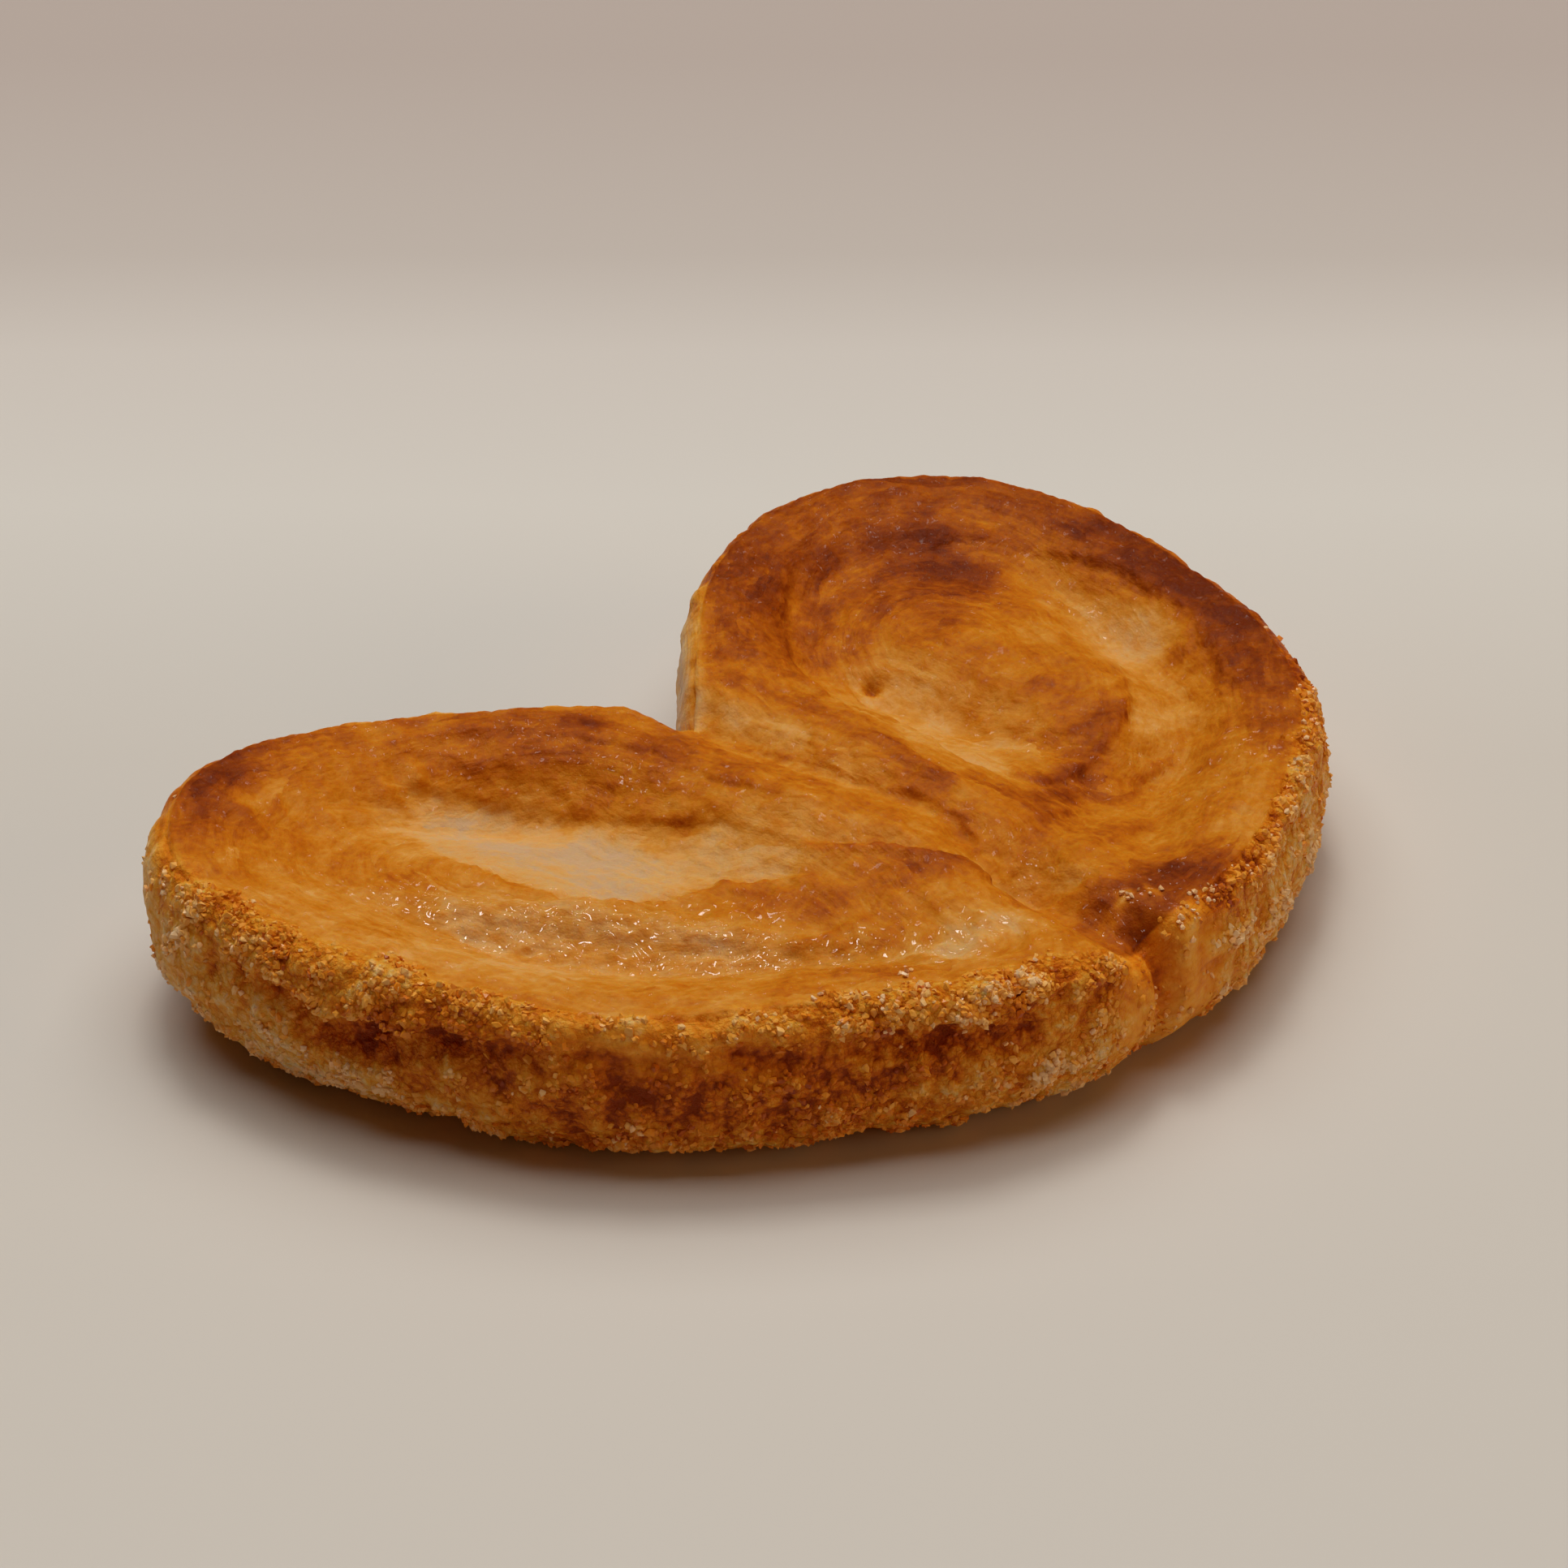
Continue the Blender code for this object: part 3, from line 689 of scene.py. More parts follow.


# Places on each lobe's wall: length run from the cleft, height as a level, half sizes, how much darker.
# Bare dough shows at the left lobe's far end and in the cleft, and the recess below the lip is painted dark
# as shade.
wallSpots = {
    "left": (
        # the darker spot at run 70 is painted shade in the recess under the lip, and those at runs 86 and
        # 88 are partly browner crust and partly painted shade
        (42.0, 0.4, 6.0, 0.7, -0.26), (60.0, -0.20, 9.0, 0.16, -0.22), (52.0, 0.55, 4.0, 0.25, -0.10),
        (70.0, 0.38, 7.0, 0.20, 0.17), (84.0, 0.62, 9.0, 0.25, -0.15), (86.0, 0.10, 13.0, 0.22, 0.14),
        (112.4, 0.45, 1.8, 0.5, -0.14), (57.0, 0.12, 9.0, 0.22, -0.12), (62.0, -0.42, 15.0, 0.18, -0.14),
        (69.0, 0.12, 5.0, 0.20, -0.10), (97.0, 0.30, 4.0, 0.15, -0.20), (106.0, -0.15, 7.0, 0.35, -0.10),
        (60.0, 0.55, 3.0, 0.12, 0.12), (91.0, 0.32, 3.0, 0.14, 0.12), (41.0, 0.85, 4.0, 0.20, 0.22),
        (88.0, -0.45, 13.0, 0.25, 0.12), (99.0, 0.25, 4.0, 0.16, 0.10), (98.0, -0.10, 2.2, 0.12, -0.22),
        (107.0, 0.02, 5.0, 0.22, -0.22), (48.0, -0.05, 8.0, 0.40, -0.13), (72.0, 0.10, 8.0, 0.18, -0.12),
        (58.0, -0.50, 7.0, 0.20, -0.26), (107.0, -0.50, 5.0, 0.20, -0.24), (68.0, 0.75, 7.0, 0.18, 0.09),
        (110.0, 0.65, 4.0, 0.25, 0.10),
    ),
    "right": (
        # the lighter spot at run 105 is painted light, the one at run 93 is partly paler crust and partly
        # painted light, and the dark narrow one at run 115.6 is painted shade in the crack by the point
        (73.0, 0.80, 5.0, 0.40, 0.36), (78.0, 0.65, 5.0, 0.30, 0.14), (111.0, 0.78, 5.0, 0.22, 0.28),
        (5.0, 0.2, 9.0, 1.0, -0.52), (98.0, 0.42, 6.0, 0.22, -0.20), (113.2, 0.62, 1.1, 0.24, -0.40),
        (115.6, 0.45, 0.4, 0.55, 0.35), (105.0, 0.10, 7.0, 0.5, -0.12), (93.0, 0.05, 12.0, 0.40, -0.18),
        (91.0, 0.85, 4.0, 0.18, 0.18),
    ),
}
crustWall = {
    "bake": 0.49, "offset": -0.25, "lipHeight": 9.0, "lipWander": 1.5, "lipOut": 0.45, "recess": 1.05,
    "relief": {            # how wide and how high, mm
        "lumps": (3.4, 0.50), "clusters": (1.9, 0.62), "grains": (0.7, 0.22), "streaks": (1.1, 0.28),
    },
}


def addWallSpots(spots):
    # ovals on the wall, each fading from its middle
    along, level = skin["run"], skin["level"]
    totals = {"left": 0.0, "right": 0.0}
    for side, places in spots.items():
        for atRun, atLevel, halfRun, halfLevel, amount in places:
            apart = ((along - atRun) / halfRun) ** 2 + ((level - atLevel) / halfLevel) ** 2
            totals[side] = totals[side] + amount * np.exp(-apart)
    return bySide(totals["left"], totals["right"])


def smoothWall():
    # the wall is smooth at the left lobe's far end and shoulder, in the cleft, and beside the point
    along = skin["run"]
    left = 0.8 * bell(along - 82.0, 9.0) * smoothStep(0.0, 0.35, skin["level"]) + bell(along - 36.0, 9.0)
    left = left + smoothStep(110.0, 112.5, along)
    right = smoothStep(16.0, 8.0, along) + smoothStep(109.0, 112.0, along)
    return np.clip(bySide(left, right), 0.0, 1.0)


def crustLip():
    # the upper edge of the crust hangs over in a ragged lip, with a recess below it that the crust's tone
    # paints dark as shade
    along, z = skin["run"], skin["z"]
    edgeNoise = layeredNoise(xyz(along, 0.35 * z, skin["side"] * 7.0), 3.2, 4, gain=0.62, shift=2.9)
    lipAt = crustWall["lipHeight"] + crustWall["lipWander"] * edgeNoise
    lipAt = lipAt - bySide(1.1 * bell(along - 64.5, 4.0), 0.0)
    above = smoothStep(-0.2, 0.2, z - lipAt)
    hung = 0.2 + bySide(bell(along - 66.0, 9.0) + 0.55 * bell(along - 99.0, 6.0), 0.0)
    return hung * above, hung * (1.0 - above) * bell(z - lipAt + 0.9, 1.3)


def sugaredWall():
    # a crumbly crust: lumps, clusters of grains on them, single grains, and the layers' streaks
    points, along = plain, skin["run"]
    x, y, z = points.T
    wide, high = wideAndHigh(crustWall["relief"])
    lumps = layeredNoise(points, wide["lumps"], 3)
    clusters = grainNoise(points + 0.6 * xyz(lumps, -lumps, lumps), wide["clusters"], shift=1.7)
    grains = grainNoise(points, wide["grains"], shift=4.9)
    streaks = layeredNoise(xyz(x / 7.0, y / 7.0, z / wide["streaks"]), 1.0, 3, shift=6.6)
    near = bySide(smoothStep(42.0, 54.0, along), smoothStep(78.0, 96.0, along))
    crumbly = (1.0 - 0.75 * smoothWall()) * (0.55 + 0.45 * near)
    lip, recess = crustLip()
    relief = high["lumps"] * lumps + high["streaks"] * streaks * smoothStep(0.5, 0.1, skin["level"])
    relief += crumbly * (high["clusters"] * (0.62 - clusters) + high["grains"] * (0.5 - grains))
    relief += near * (crustWall["lipOut"] * lip - crustWall["recess"] * recess) + crustWall["offset"]
    relief *= 0.35 + 0.65 * smoothStep(1.5, 6.0, np.hypot(x, y - heart["pointY"]))
    # lighter on raised lumps and streaks as painted light, and darker in the recess below the lip as
    # painted shade
    # tone: darker in the gaps between clusters and grains, partly darker caramel and partly painted shade,
    shade = 0.56 * (clusters - 0.50) + 0.26 * (grains - 0.42) - 0.26 * lumps
    shade = shade - 0.22 * streaks + 0.28 * recess
    return relief, shade * (0.4 + 0.6 * crumbly), crumbly


def bakedWall(shade):
    # darker halfway down the near side, partly browner crust and partly painted shade, and dark underneath
    level = skin["level"]
    halfway = bell(level - 0.05, 0.4) * bySide(smoothStep(54.0, 68.0, skin["run"]), 0.0)
    bake = crustWall["bake"] + shade + 0.14 * halfway + 0.08 * smoothStep(-0.3, -0.9, level)
    return bake + addWallSpots(wallSpots)


def crustReach():
    # the sugar crust ends in a ragged line just inside the shoulder
    ragged = layeredNoise(plain, 2.6, 4, gain=0.6, shift=7.3)
    along = skin["run"]
    near = smoothStep(40.0, 48.0, along) * smoothStep(114.0, 108.0, along)
    near = near * (1.0 - 0.6 * bell(along - 80.0, 11.0))
    near = bySide(near, 0.7 * smoothStep(74.0, 84.0, along) * smoothStep(104.0, 94.0, along))
    reach = 0.4 + 2.4 * near + 2.2 * ragged
    onRim = (0.15 + 0.85 * near) * smoothStep(0.8, -0.8, skin["outer"] - reach)
    around = bySide(smoothStep(38.0, 46.0, along), smoothStep(66.0, 80.0, along))
    return np.where(skin["onTop"], onRim, smoothStep(2.0, 10.0, along) * (0.45 + 0.55 * around))


def shapePastry():
    # the coiled face and the wall each have their own relief and colour, blended at the shoulder
    onTop, along = skin["onTop"], skin["run"]
    wallRelief, wallToneAndShade, crumbly = sugaredWall()
    crust = crustReach()
    relief = wallRelief * exceptFoot(0.25)
    bake, glaze = bakedWall(wallToneAndShade), np.zeros(len(plain))
    topRelief, topBake, topGlaze = coiledFace(onTop)
    share = crust[onTop]
    relief[onTop] = topRelief * (1.0 - share) + 0.6 * (wallRelief[onTop] + 0.25) * share
    bake[onTop] = topBake * (1.0 - 0.7 * share) + (0.52 + 0.7 * wallToneAndShade[onTop]) * 0.7 * share
    glaze[onTop] = topGlaze * (1.0 - share)
    shoulder = 0.65 * ~onTop * smoothStep(0.35, 0.95, skin["level"])
    far = bySide(bell(along - 33.0, 9.0), smoothStep(10.0, 24.0, along) * smoothStep(92.0, 78.0, along))
    brown = bySide(0.0, bell(along - 108.5, 3.5))
    bake = bake * (1.0 - shoulder) + (0.52 + 0.34 * far + 0.2 * brown + wallToneAndShade) * shoulder
    points = plain + vertexNormals(plain, skinFaces) * relief[:, None]
    points[:, 2] = np.clip(points[:, 2], 0.0, packed[1, 2] + 0.2)
    return points + toPacked, np.clip(bake, 0.0, 1.0), glaze, crust, crumbly, wallRelief


shaped, bake, glaze, crust, crumbly, wallRelief = shapePastry()
shapedNormals = vertexNormals(shaped, skinFaces)
print("skin shaped")


def newMaterial(name):
    material = bpy.data.materials.new(name)
    material.use_nodes = True
    tree = material.node_tree
    tree.nodes.clear()
    output = tree.nodes.new("ShaderNodeOutputMaterial")
    surface = tree.nodes.new("ShaderNodeBsdfPrincipled")
    tree.links.new(surface.outputs[0], output.inputs[0])
    return material, tree, surface


def addNode(tree, kind, **settings):
    node = tree.nodes.new("ShaderNode" + kind)
    for key, value in settings.items():
        if key in node.inputs:
            node.inputs[key].default_value = value
        else:
            setattr(node, key, value)
    return node


def join(tree, start, end):
    tree.links.new(start, end)


def addTexture(tree, kind, places, **settings):
    node = addNode(tree, kind, **settings)
    join(tree, places, node.inputs["Vector"])
    return node


def attributeValue(tree, name):
    return addNode(tree, "Attribute", attribute_name=name).outputs["Fac"]


def ownPlaces(tree):
    return addNode(tree, "TexCoord").outputs["Object"]


def calculate(tree, operation, first, second, clamp=False):
    node = tree.nodes.new("ShaderNodeMath")
    node.operation, node.use_clamp = operation, clamp
    for socket, value in zip(node.inputs, (first, second)):
        if isinstance(value, (int, float)):
            socket.default_value = value
        else:
            tree.links.new(value, socket)
    return node.outputs[0]


def scaled(tree, value, middle, strength):
    # how far the value is past the middle, times the strength
    return calculate(tree, "MULTIPLY", calculate(tree, "SUBTRACT", value, middle), strength)


def pushedPlaces(tree, places, colour, amounts):
    # the places, moved by the colour's three channels
    node = addNode(tree, "VectorMath", operation="MULTIPLY_ADD")
    join(tree, colour, node.inputs[0])
    node.inputs[1].default_value = amounts
    join(tree, places, node.inputs[2])
    return node.outputs[0]


def colourRamp(tree, stops, driver):
    ramp = tree.nodes.new("ShaderNodeValToRGB")
    points = ramp.color_ramp.elements
    for point, (position, colour) in zip(points, (stops[0], stops[-1])):
        point.position, point.color = position, (*colour, 1.0)
    for position, colour in stops[1:-1]:
        points.new(position).color = (*colour, 1.0)
    join(tree, driver, ramp.inputs["Fac"])
    return ramp.outputs["Color"]


# How far baked, and the dough's own colour there.
bakeColours = (
    (0.00, (0.62, 0.38, 0.190)),
    (0.12, (0.70, 0.38, 0.125)),
    (0.25, (0.72, 0.34, 0.080)),
    (0.35, (0.68, 0.275, 0.034)),
    (0.50, (0.60, 0.190, 0.007)),
    (0.60, (0.53, 0.140, 0.004)),
    (0.70, (0.42, 0.092, 0.003)),
    (0.84, (0.28, 0.048, 0.002)),
    (1.00, (0.16, 0.022, 0.002)),
)
# The same for the sugared crust, which stays brighter and redder as it caramelises.
sugarColours = (
    (0.00, (0.84, 0.58, 0.31)),
    (0.20, (0.86, 0.49, 0.145)),
    (0.40, (0.83, 0.36, 0.038)),
    (0.60, (0.75, 0.24, 0.010)),
    (0.80, (0.57, 0.125, 0.003)),
    (1.00, (0.28, 0.040, 0.002)),
)


def crustGrains(tree, places, speckle, share):
    # darker, deeper gaps between fine grains, as far as the crust is grainy: the darkening is partly darker
    # caramel and partly painted shade
    moved = pushedPlaces(tree, places, speckle.outputs["Color"], (0.0009, 0.0009, 0.0009))
    grains = addTexture(tree, "TexVoronoi", moved, Scale=1900.0)
    return scaled(tree, grains.outputs["Distance"], 0.42, share)


def flakedLayers(tree, places, strand, cloud, bare):
    # long overlapping flakes, each lighter or darker and higher or lower, where the pastry flaked
    moved = pushedPlaces(tree, strand, cloud.outputs["Color"], (4.5, 0.9, 0.9))
    split = addNode(tree, "SeparateXYZ")
    join(tree, addTexture(tree, "TexVoronoi", moved, Scale=0.27).outputs["Color"], split.inputs[0])
    flaked = addNode(tree, "MapRange", interpolation_type="SMOOTHSTEP")
    flaked.inputs["From Min"].default_value, flaked.inputs["From Max"].default_value = 0.40, 0.60
    patches = addTexture(tree, "TexNoise", places, Scale=240.0, Detail=2.0)
    join(tree, patches.outputs["Fac"], flaked.inputs["Value"])
    share = calculate(tree, "MULTIPLY", flaked.outputs["Result"], bare)
    return scaled(tree, split.outputs["X"], 0.5, share)


def makeBakedTone():
    # a share of baking becomes a colour, mottled at two sizes and streaked along the ribbon
    tone = bpy.data.node_groups.new("bakedTone", "ShaderNodeTree")
    for name, kind in (("Baked", "Float"), ("Strand", "Vector"), ("Grain", "Float"), ("Sugared", "Float")):
        tone.interface.new_socket(name, in_out="INPUT", socket_type="NodeSocket" + kind)
    for name, kind in (("Colour", "Color"), ("Roughness", "Float"), ("Height", "Float")):
        tone.interface.new_socket(name, in_out="OUTPUT", socket_type="NodeSocket" + kind)
    given, result = tone.nodes.new("NodeGroupInput"), tone.nodes.new("NodeGroupOutput")
    places, strand, sugared = ownPlaces(tone), given.outputs["Strand"], given.outputs["Sugared"]
    cloud = addTexture(tone, "TexNoise", places, Scale=450.0, Detail=3.0, Roughness=0.6)
    speckle = addTexture(tone, "TexNoise", places, Scale=2200.0, Detail=3.0, Roughness=0.6)
    fibre = addTexture(tone, "TexNoise", strand, Scale=1.0, Detail=3.0, Roughness=0.55)
    gaps = crustGrains(tone, places, speckle, given.outputs["Grain"])
    bare = calculate(tone, "SUBTRACT", 1.0, sugared, clamp=True)
    layers = flakedLayers(tone, places, strand, cloud, bare)
    level = calculate(tone, "ADD", given.outputs["Baked"], calculate(tone, "MULTIPLY", gaps, 0.55))
    level = calculate(tone, "SUBTRACT", level, calculate(tone, "MULTIPLY", layers, 0.17))
    for node, strength in ((cloud, 0.46), (speckle, 0.30), (fibre, 0.30)):
        change = scaled(tone, node.outputs["Fac"], 0.5, strength)
        level = calculate(tone, "ADD", level, change, clamp=node is fibre)
    blend = addNode(tone, "Mix", data_type="RGBA")
    join(tone, sugared, blend.inputs["Factor"])
    join(tone, colourRamp(tone, bakeColours, level), blend.inputs[6])
    join(tone, colourRamp(tone, sugarColours, level), blend.inputs[7])
    join(tone, blend.outputs[2], result.inputs["Colour"])
    dull = calculate(tone, "SUBTRACT", 0.72, calculate(tone, "MULTIPLY", speckle.outputs["Fac"], 0.40))
    join(tone, dull, result.inputs["Roughness"])
    fibres = calculate(tone, "MULTIPLY", fibre.outputs["Fac"], 0.7)
    height = calculate(tone, "ADD", fibres, speckle.outputs["Fac"])
    height = calculate(tone, "ADD", height, calculate(tone, "MULTIPLY", layers, 1.6))
    height = calculate(tone, "SUBTRACT", height, calculate(tone, "MULTIPLY", gaps, 2.4))
    join(tone, height, result.inputs["Height"])
    return tone


def addBakedTone(tree, surface, bumpDistance):
    tone = tree.nodes.new("ShaderNodeGroup")
    tone.node_tree = bakedTone
    for name in ("Grain", "Sugared", "Baked"):
        join(tree, attributeValue(tree, name.lower()), tone.inputs[name])
    join(tree, addNode(tree, "Attribute", attribute_name="strand").outputs["Vector"], tone.inputs["Strand"])
    join(tree, tone.outputs["Colour"], surface.inputs["Base Color"])
    join(tree, tone.outputs["Roughness"], surface.inputs["Roughness"])
    bump = addNode(tree, "Bump", Strength=0.8, Distance=bumpDistance)
    join(tree, tone.outputs["Height"], bump.inputs["Height"])
    join(tree, bump.outputs["Normal"], surface.inputs["Normal"])


def makePastryMaterial():
    material, tree, surface = newMaterial("bakedPastry")
    addBakedTone(tree, surface, 0.00015)
    # wet syrup in the glazed grooves, and a thin sheen on bare dough
    pools = calculate(tree, "MULTIPLY", attributeValue(tree, "glazed"), 0.80)
    sheen = calculate(tree, "MULTIPLY", attributeValue(tree, "sugared"), 0.05)
    wet = calculate(tree, "ADD", pools, calculate(tree, "SUBTRACT", 0.07, sheen), clamp=True)
    join(tree, wet, surface.inputs["Coat Weight"])
    surface.inputs["Coat Roughness"].default_value = 0.04
    surface.inputs["Coat IOR"].default_value = 1.8
    surface.inputs["Specular IOR Level"].default_value = 0.12
    surface.inputs["Subsurface Weight"].default_value = 0.30
    surface.inputs["Subsurface Radius"].default_value = (1.0, 0.35, 0.06)
    surface.inputs["Subsurface Scale"].default_value = 0.0014
    wavelets = addTexture(tree, "TexNoise", ownPlaces(tree), Scale=750.0, Detail=0.0, Distortion=1.5)
    syrup = addNode(tree, "Bump", Strength=1.0, Distance=0.0007)
    join(tree, wavelets.outputs["Fac"], syrup.inputs["Height"])
    join(tree, syrup.outputs["Normal"], surface.inputs["Coat Normal"])
    return material


def strandPlaces(points, across):
    # the fibres' own space: fine across the ribbon and long along it
    drift = 2.0 * layeredNoise(points, 8.0, 3, shift=14.9)
    return xyz((across + drift) / 0.42, points[:, 0] / 2.6, points[:, 1] / 2.6)


bakedTone = makeBakedTone()
pastryPiece = makeMesh("coiledPastry", shaped, skinFaces, makePastryMaterial())
addAttribute(pastryPiece, "baked", bake)
addAttribute(pastryPiece, "glazed", glaze)
addAttribute(pastryPiece, "grain", crust * crumbly * exceptFoot(0.3))
addAttribute(pastryPiece, "sugared", crust * exceptFoot(0.3))
addAttribute(pastryPiece, "strand", strandPlaces(plain, skin["across"]))
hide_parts("pastry")


def randomTurns(count, chance):
    # random unit quaternions as rotation matrices
    turns = chance.normal(size=(count, 4))
    w, x, y, z = (turns / np.linalg.norm(turns, axis=1)[:, None]).T
    return np.stack([
        1 - 2 * (y * y + z * z), 2 * (x * y - w * z), 2 * (x * z + w * y),
        2 * (x * y + w * z), 1 - 2 * (x * x + z * z), 2 * (y * z - w * x),
        2 * (x * z - w * y), 2 * (y * z + w * x), 1 - 2 * (x * x + y * y),
    ], axis=-1).reshape(count, 3, 3)


def scatterShape(corners, faces, places, sizes, chance, uneven):
    # a copy of the shape at each place, turned at random, with its corners pulled in and out a little
    count = len(places)
    pulls = 1.0 + uneven * chance.uniform(-1.0, 1.0, (count, len(corners), 1))
    shapes = corners[None] * pulls * sizes[:, None, :]
    points = np.einsum("nij,nvj->nvi", randomTurns(count, chance), shapes) + places[:, None, :]
    allFaces = faces[None] + (np.arange(count) * len(corners))[:, None, None]
    return points.reshape(-1, 3), [allFaces.reshape(-1, faces.shape[1])]


def ballShape():
    # an icosahedron: three golden rectangles' corners, and the triangles between nearest ones
    golden = (1.0 + 5.0 ** 0.5) / 2.0
    flat = np.array([(0.0, a, b * golden) for a in (-1, 1) for b in (-1, 1)])
    corners = np.concatenate([flat, np.roll(flat, 1, axis=1), np.roll(flat, 2, axis=1)])
    close = np.abs(np.linalg.norm(corners[:, None] - corners[None], axis=2) - 2.0) < 0.1
    faces = []
    for a, b, c in np.argwhere(close[:, :, None] & close[None] & close[:, None, :]):
        if a < b < c:
            outward = np.dot(np.cross(corners[b] - corners[a], corners[c] - corners[a]), corners[a]) > 0
            faces.append((a, b, c) if outward else (a, c, b))
    return corners / np.linalg.norm(corners[0]), np.array(faces)


def choosePlaces(weights, count, chance, spread, lift):
    pick = chance.choice(len(weights), count, p=weights / weights.sum())
    drift = chance.normal(scale=spread, size=(count, 3))
    drift -= (drift * shapedNormals[pick]).sum(1)[:, None] * shapedNormals[pick]
    return shaped[pick] + drift + shapedNormals[pick] * lift[:, None], pick


def keepInside(places, reach):
    # nothing dips below the table or stands above the part's box
    places[:, 2] = np.clip(places[:, 2], reach, packed[1, 2] + 0.3 - reach)
    return places


# Where loose sugar stuck to each lobe's wall: length run, level, half sizes, how thick.
sugarSpots = {
    "left": (
        (60.0, -0.15, 10.0, 0.25, 2.2), (52.0, 0.30, 6.0, 0.5, 0.7), (103.0, 0.55, 6.0, 0.5, 1.3),
        (107.0, -0.05, 6.0, 0.35, 2.0), (93.0, 0.85, 6.0, 0.3, 0.7), (78.0, -0.35, 16.0, 0.2, 0.5),
    ),
    "right": (
        (108.0, 0.30, 6.0, 0.5, 1.4), (92.0, 0.80, 9.0, 0.4, 1.3), (80.0, 0.95, 7.0, 0.3, 0.8),
        (104.0, -0.20, 9.0, 0.3, 1.2),
    ),
}
# Crystals caught on the coiled face and its rim.
caughtCrystals = (
    (-13.0, 8.3), (-12.2, 5.5), (-14.1, 5.9), (-16.5, 7.8), (-9.8, 3.2), (-8.2, 3.4), (6.4, 1.5),
    (4.4, 1.0), (3.4, 1.4), (7.6, -0.3), (2.5, 5.4), (4.2, 4.3), (3.2, 4.8), (6.9, 2.2), (5.3, 2.1),
)
# Bits of sugar and crust: half sizes in mm, how slender and uneven, how far they stray, and how far
# they stand off the skin as a share of their size.
crystals = {
    "count": 320, "size": (0.12, 0.26), "slender": 0.5, "uneven": 0.42,
    "spread": 0.12, "lift": 0.35, "seed": 21,
}
crumbs = {
    "count": 8600, "size": (0.10, 0.36), "slender": 0.6, "uneven": 0.45,
    "spread": 0.14, "lift": -0.3, "seed": 22,
    "paler": 0.34, "varied": 0.13,         # paler among sugar, and how much their tones vary
}


def scatterWeights():
    # how thick loose sugar and crumbs lie at each point of the skin
    along, level = skin["run"], skin["level"]
    clumps = smoothStep(-0.1, 0.45, layeredNoise(plain, 2.4, 3, shift=12.0))
    raised = 0.12 + smoothStep(-0.5, 0.2, wallRelief)
    sugar = (0.002 + addWallSpots(sugarSpots)) * crust * (0.03 + clumps) * raised * exceptFoot(0.4)
    for atX, atY in caughtCrystals:
        sugar = sugar + 2.0 * (level > 0.6) * bell(np.hypot(skin["x"] - atX, skin["y"] - atY), 0.35)
    near = bySide(smoothStep(43.0, 50.0, along), smoothStep(74.0, 86.0, along))
    near = np.maximum(near, 0.5 * (level < 0.5) * bySide(1.0, smoothStep(14.0, 24.0, along)))
    loose = near * crust ** 2 * crumbly * (0.08 + clumps) * raised * exceptFoot(1.2)
    return sugar, loose


sugarWeight, crumbWeight = scatterWeights()


def makeCrystalMaterial():
    material, tree, surface = newMaterial("sugarCrystal")
    tint = addTexture(tree, "TexNoise", ownPlaces(tree), Scale=700.0, Detail=2.0)
    stops = ((0.38, (0.92, 0.64, 0.36)), (0.60, (0.90, 0.48, 0.16)))
    join(tree, colourRamp(tree, stops, tint.outputs["Fac"]), surface.inputs["Base Color"])
    surface.inputs["Roughness"].default_value = 0.25
    surface.inputs["IOR"].default_value = 1.50
    return material


def makeCrumbMaterial():
    material, tree, surface = newMaterial("caramelCrumb")
    addBakedTone(tree, surface, 0.00010)
    surface.inputs["Specular IOR Level"].default_value = 0.20
    surface.inputs["Coat Weight"].default_value = 0.25
    surface.inputs["Coat Roughness"].default_value = 0.10
    return material


def scatterBits(name, bits, weights, material):
    # uneven balls, lifted off the skin or sunk into it by a share of their size
    chance, count = np.random.default_rng(bits["seed"]), bits["count"]
    size = chance.uniform(*bits["size"], (count, 1)) * chance.uniform(bits["slender"], 1.0, (count, 3))
    places, pick = choosePlaces(weights, count, chance, bits["spread"], bits["lift"] * size[:, 0])
    corners, faces = ballShape()
    points, faces = scatterShape(corners, faces, keepInside(places, 0.5), size, chance, bits["uneven"])
    return makeMesh(name, points, faces, material, smooth=False), points, pick, chance


def makeCrystals():
    piece, _, _, _ = scatterBits("sugarCrystals", crystals, sugarWeight, makeCrystalMaterial())


def makeCrumbs():
    piece, points, pick, chance = scatterBits("caramelCrumbs", crumbs, crumbWeight, makeCrumbMaterial())
    tone = bake[pick] - crumbs["paler"] * np.clip(sugarWeight[pick] / 2.0, 0.0, 1.0)
    tone = np.clip(tone + crumbs["varied"] * chance.normal(size=len(pick)), 0.0, 1.0)
    addAttribute(piece, "baked", np.repeat(tone, len(points) // len(pick)))
    addAttribute(piece, "grain", np.zeros(len(points)))
    addAttribute(piece, "sugared", np.ones(len(points)))
    addAttribute(piece, "strand", points * 0.6)


makeCrystals()
makeCrumbs()

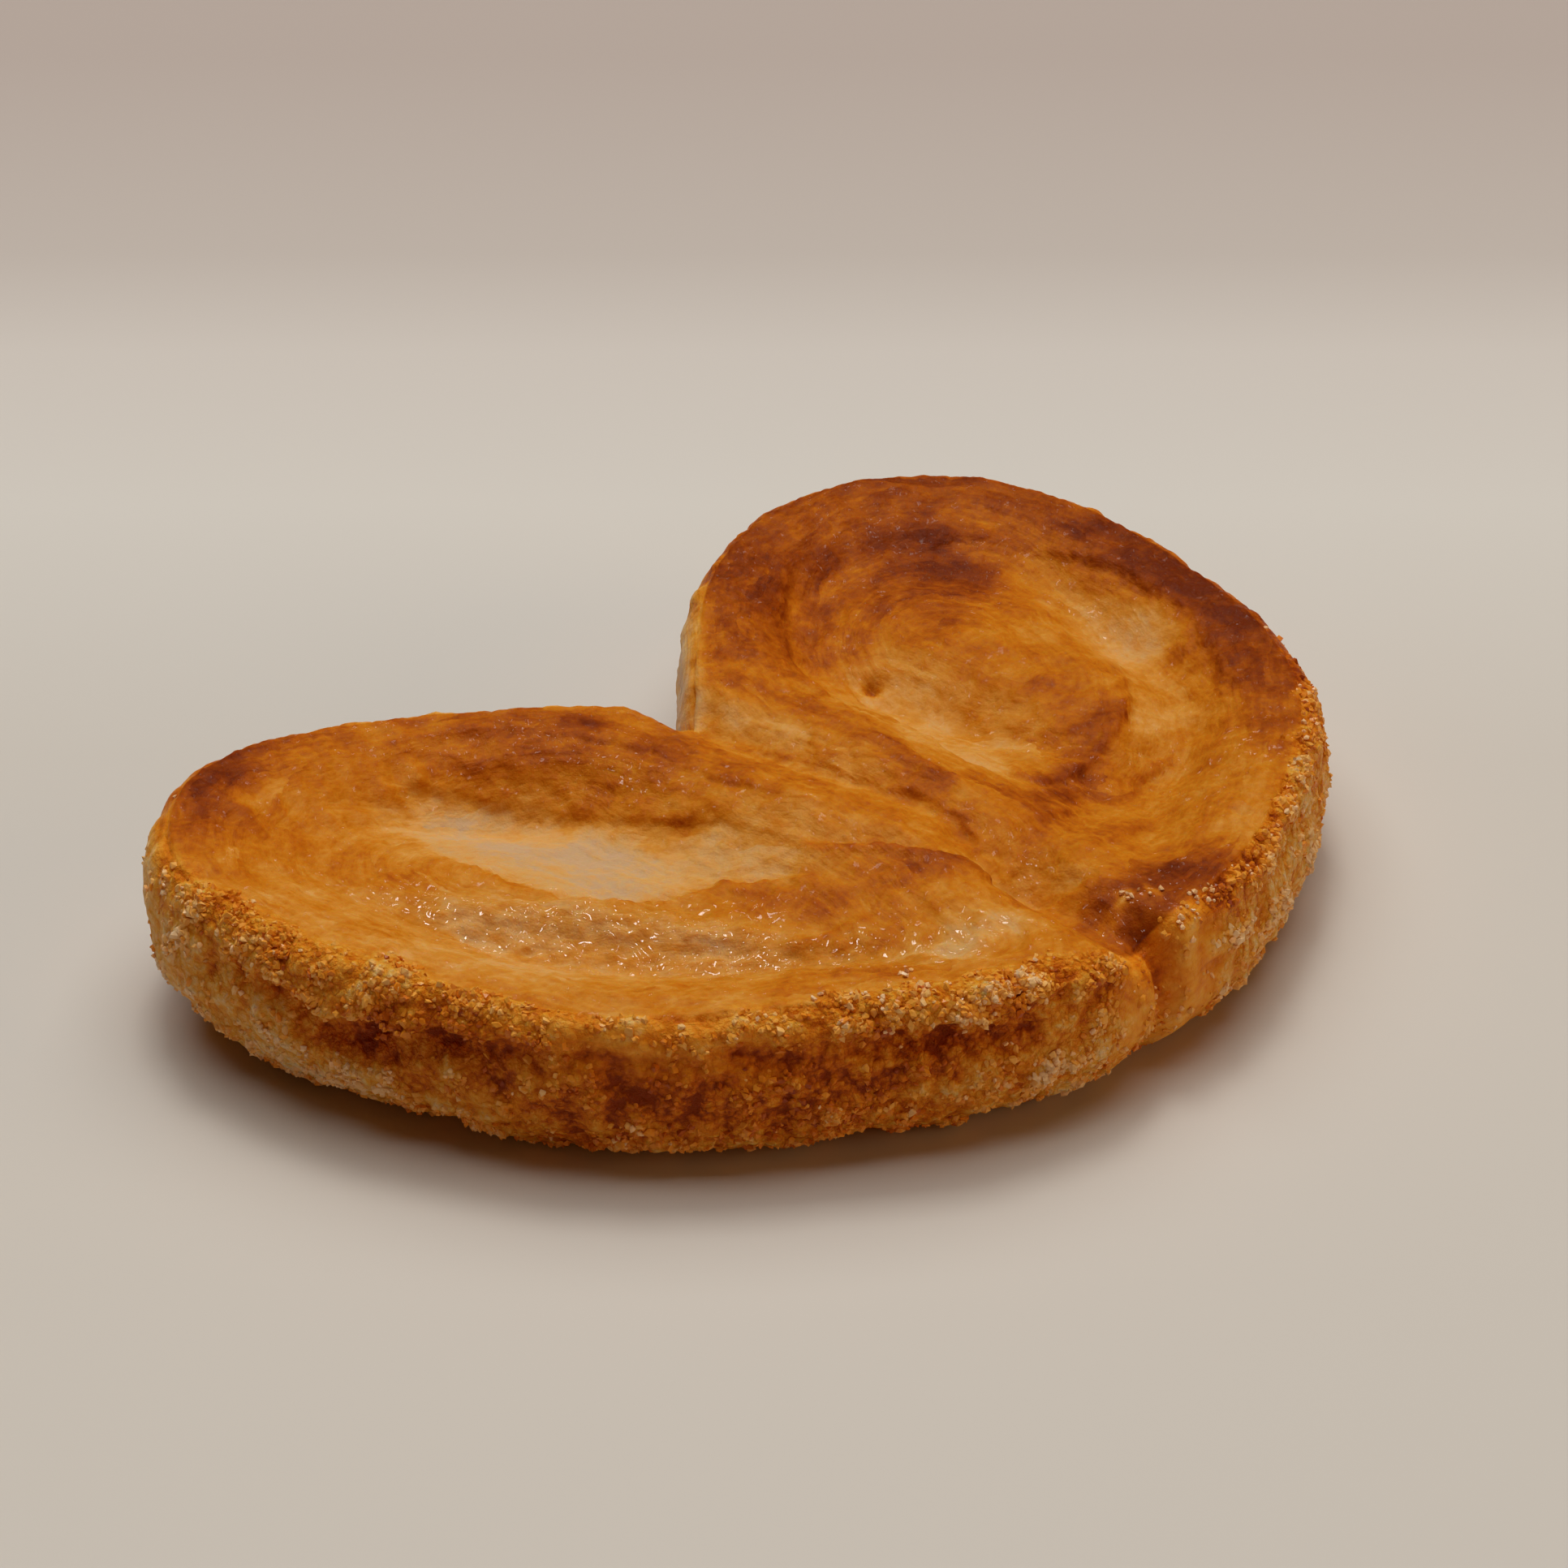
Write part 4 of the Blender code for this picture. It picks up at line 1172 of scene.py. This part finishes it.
stage = {
    "floorHalf": 1.5,
    # the floor's graded tone below is painted light and shade
    "floorFrom": 0.02, "floorTo": 0.15,    # the floor's tone changes this far behind the origin, metres
    "floorColoursAndLight": (
        (0.00, (0.665, 0.615, 0.543)), (0.29, (0.725, 0.680, 0.610)), (0.50, (0.690, 0.630, 0.565)),
        (0.65, (0.590, 0.520, 0.460)), (1.00, (0.530, 0.445, 0.390)),
    ),
    # each lamp: power, height above the horizon, turn from straight behind the pastry, growing towards
    # the camera's left (both in degrees), distance, size and colour
    "key": (12.95, 72.0, 4.0, 1.2, 1.45, (1.0, 1.0, 1.0)),
    "window": (3.2, 67.0, 9.0, 1.2, 0.32, (1.0, 0.99, 0.97)),
    "bounce": (1.2, 20.0, 180.0, 1.2, 0.90, (1.0, 0.38, 0.07)),
    "side": (2.6, 15.0, 258.0, 1.2, 0.55, (1.0, 0.70, 0.36)),
    "sky": 0.008,
}
view = {
    "azimuth": -44.68, "lift": 30.23, "field": 20.0, "away": 0.2961,
    "lookAt": (9.80, 13.26, 0.0),          # millimetres from the part's origin
}


def direction(azimuth, lift):
    # the way from the pastry towards something at this azimuth and height
    turn, rise = math.radians(azimuth), math.radians(lift)
    return np.array([math.sin(turn) * math.cos(rise), -math.cos(turn) * math.cos(rise), math.sin(rise)])


def aim(item, place, target):
    item.location = place
    item.rotation_euler = (Vector(target) - Vector(place)).to_track_quat("-Z", "Y").to_euler()


def makeFloor():
    # its pale tone carries painted light and shade, graded from near to far for the main view, and stays in
    # place in the others
    material, tree, surface = newMaterial("paleTable")
    depth = addNode(tree, "VectorMath", operation="DOT_PRODUCT")
    join(tree, ownPlaces(tree), depth.inputs[0])
    depth.inputs[1].default_value = -direction(view["azimuth"], 0.0)
    change = addNode(tree, "MapRange")
    change.inputs["From Min"].default_value = stage["floorFrom"]
    change.inputs["From Max"].default_value = stage["floorTo"]
    join(tree, depth.outputs["Value"], change.inputs["Value"])
    floorColour = colourRamp(tree, stage["floorColoursAndLight"], change.outputs["Result"])
    join(tree, floorColour, surface.inputs["Base Color"])
    surface.inputs["Roughness"].default_value = 0.45
    surface.inputs["Specular IOR Level"].default_value = 0.3
    mesh, half = bpy.data.meshes.new("floor"), stage["floorHalf"]
    corners = [(-half, -half, 0.0), (half, -half, 0.0), (half, half, 0.0), (-half, half, 0.0)]
    mesh.from_pydata(corners, [], [(0, 1, 2, 3)])
    mesh.materials.append(material)
    floor = bpy.data.objects.new("floor", mesh)
    bpy.context.scene.collection.objects.link(floor)


def makeLamp(name, glints=False):
    # a square lamp, turned from straight behind the pastry as the camera sees it
    power, lift, turn, away, size, colour = stage[name]
    lamp = bpy.data.lights.new(name, "AREA")
    lamp.shape, lamp.size, lamp.energy, lamp.color = "SQUARE", size, power, colour
    item = bpy.data.objects.new(name, lamp)
    item.visible_glossy = glints
    bpy.context.scene.collection.objects.link(item)
    aim(item, direction(view["azimuth"] + 180.0 + turn, lift) * away, (0.0, 0.0, 0.0))


def makeLight():
    # a broad soft lamp, a smaller one that also glints in the syrup, and warm light from front and side
    makeLamp("key")
    makeLamp("window", glints=True)
    makeLamp("bounce")
    makeLamp("side")
    world = bpy.data.worlds.new("room")
    world.use_nodes = True
    world.node_tree.nodes["Background"].inputs["Color"].default_value = (1.0, 0.97, 0.93, 1.0)
    world.node_tree.nodes["Background"].inputs["Strength"].default_value = stage["sky"]
    bpy.context.scene.world = world


def makeCamera():
    lens = bpy.data.cameras.new("camera")
    lens.angle, lens.clip_start = math.radians(view["field"]), 0.01
    item = bpy.data.objects.new("camera", lens)
    bpy.context.scene.collection.objects.link(item)
    target = np.array(view["lookAt"]) * 0.001
    aim(item, target + direction(view["azimuth"], view["lift"]) * view["away"], target)
    bpy.context.scene.camera = item


makeFloor()
makeLight()
makeCamera()
bpy.context.scene.view_settings.view_transform = "Standard"
print("stage ready")
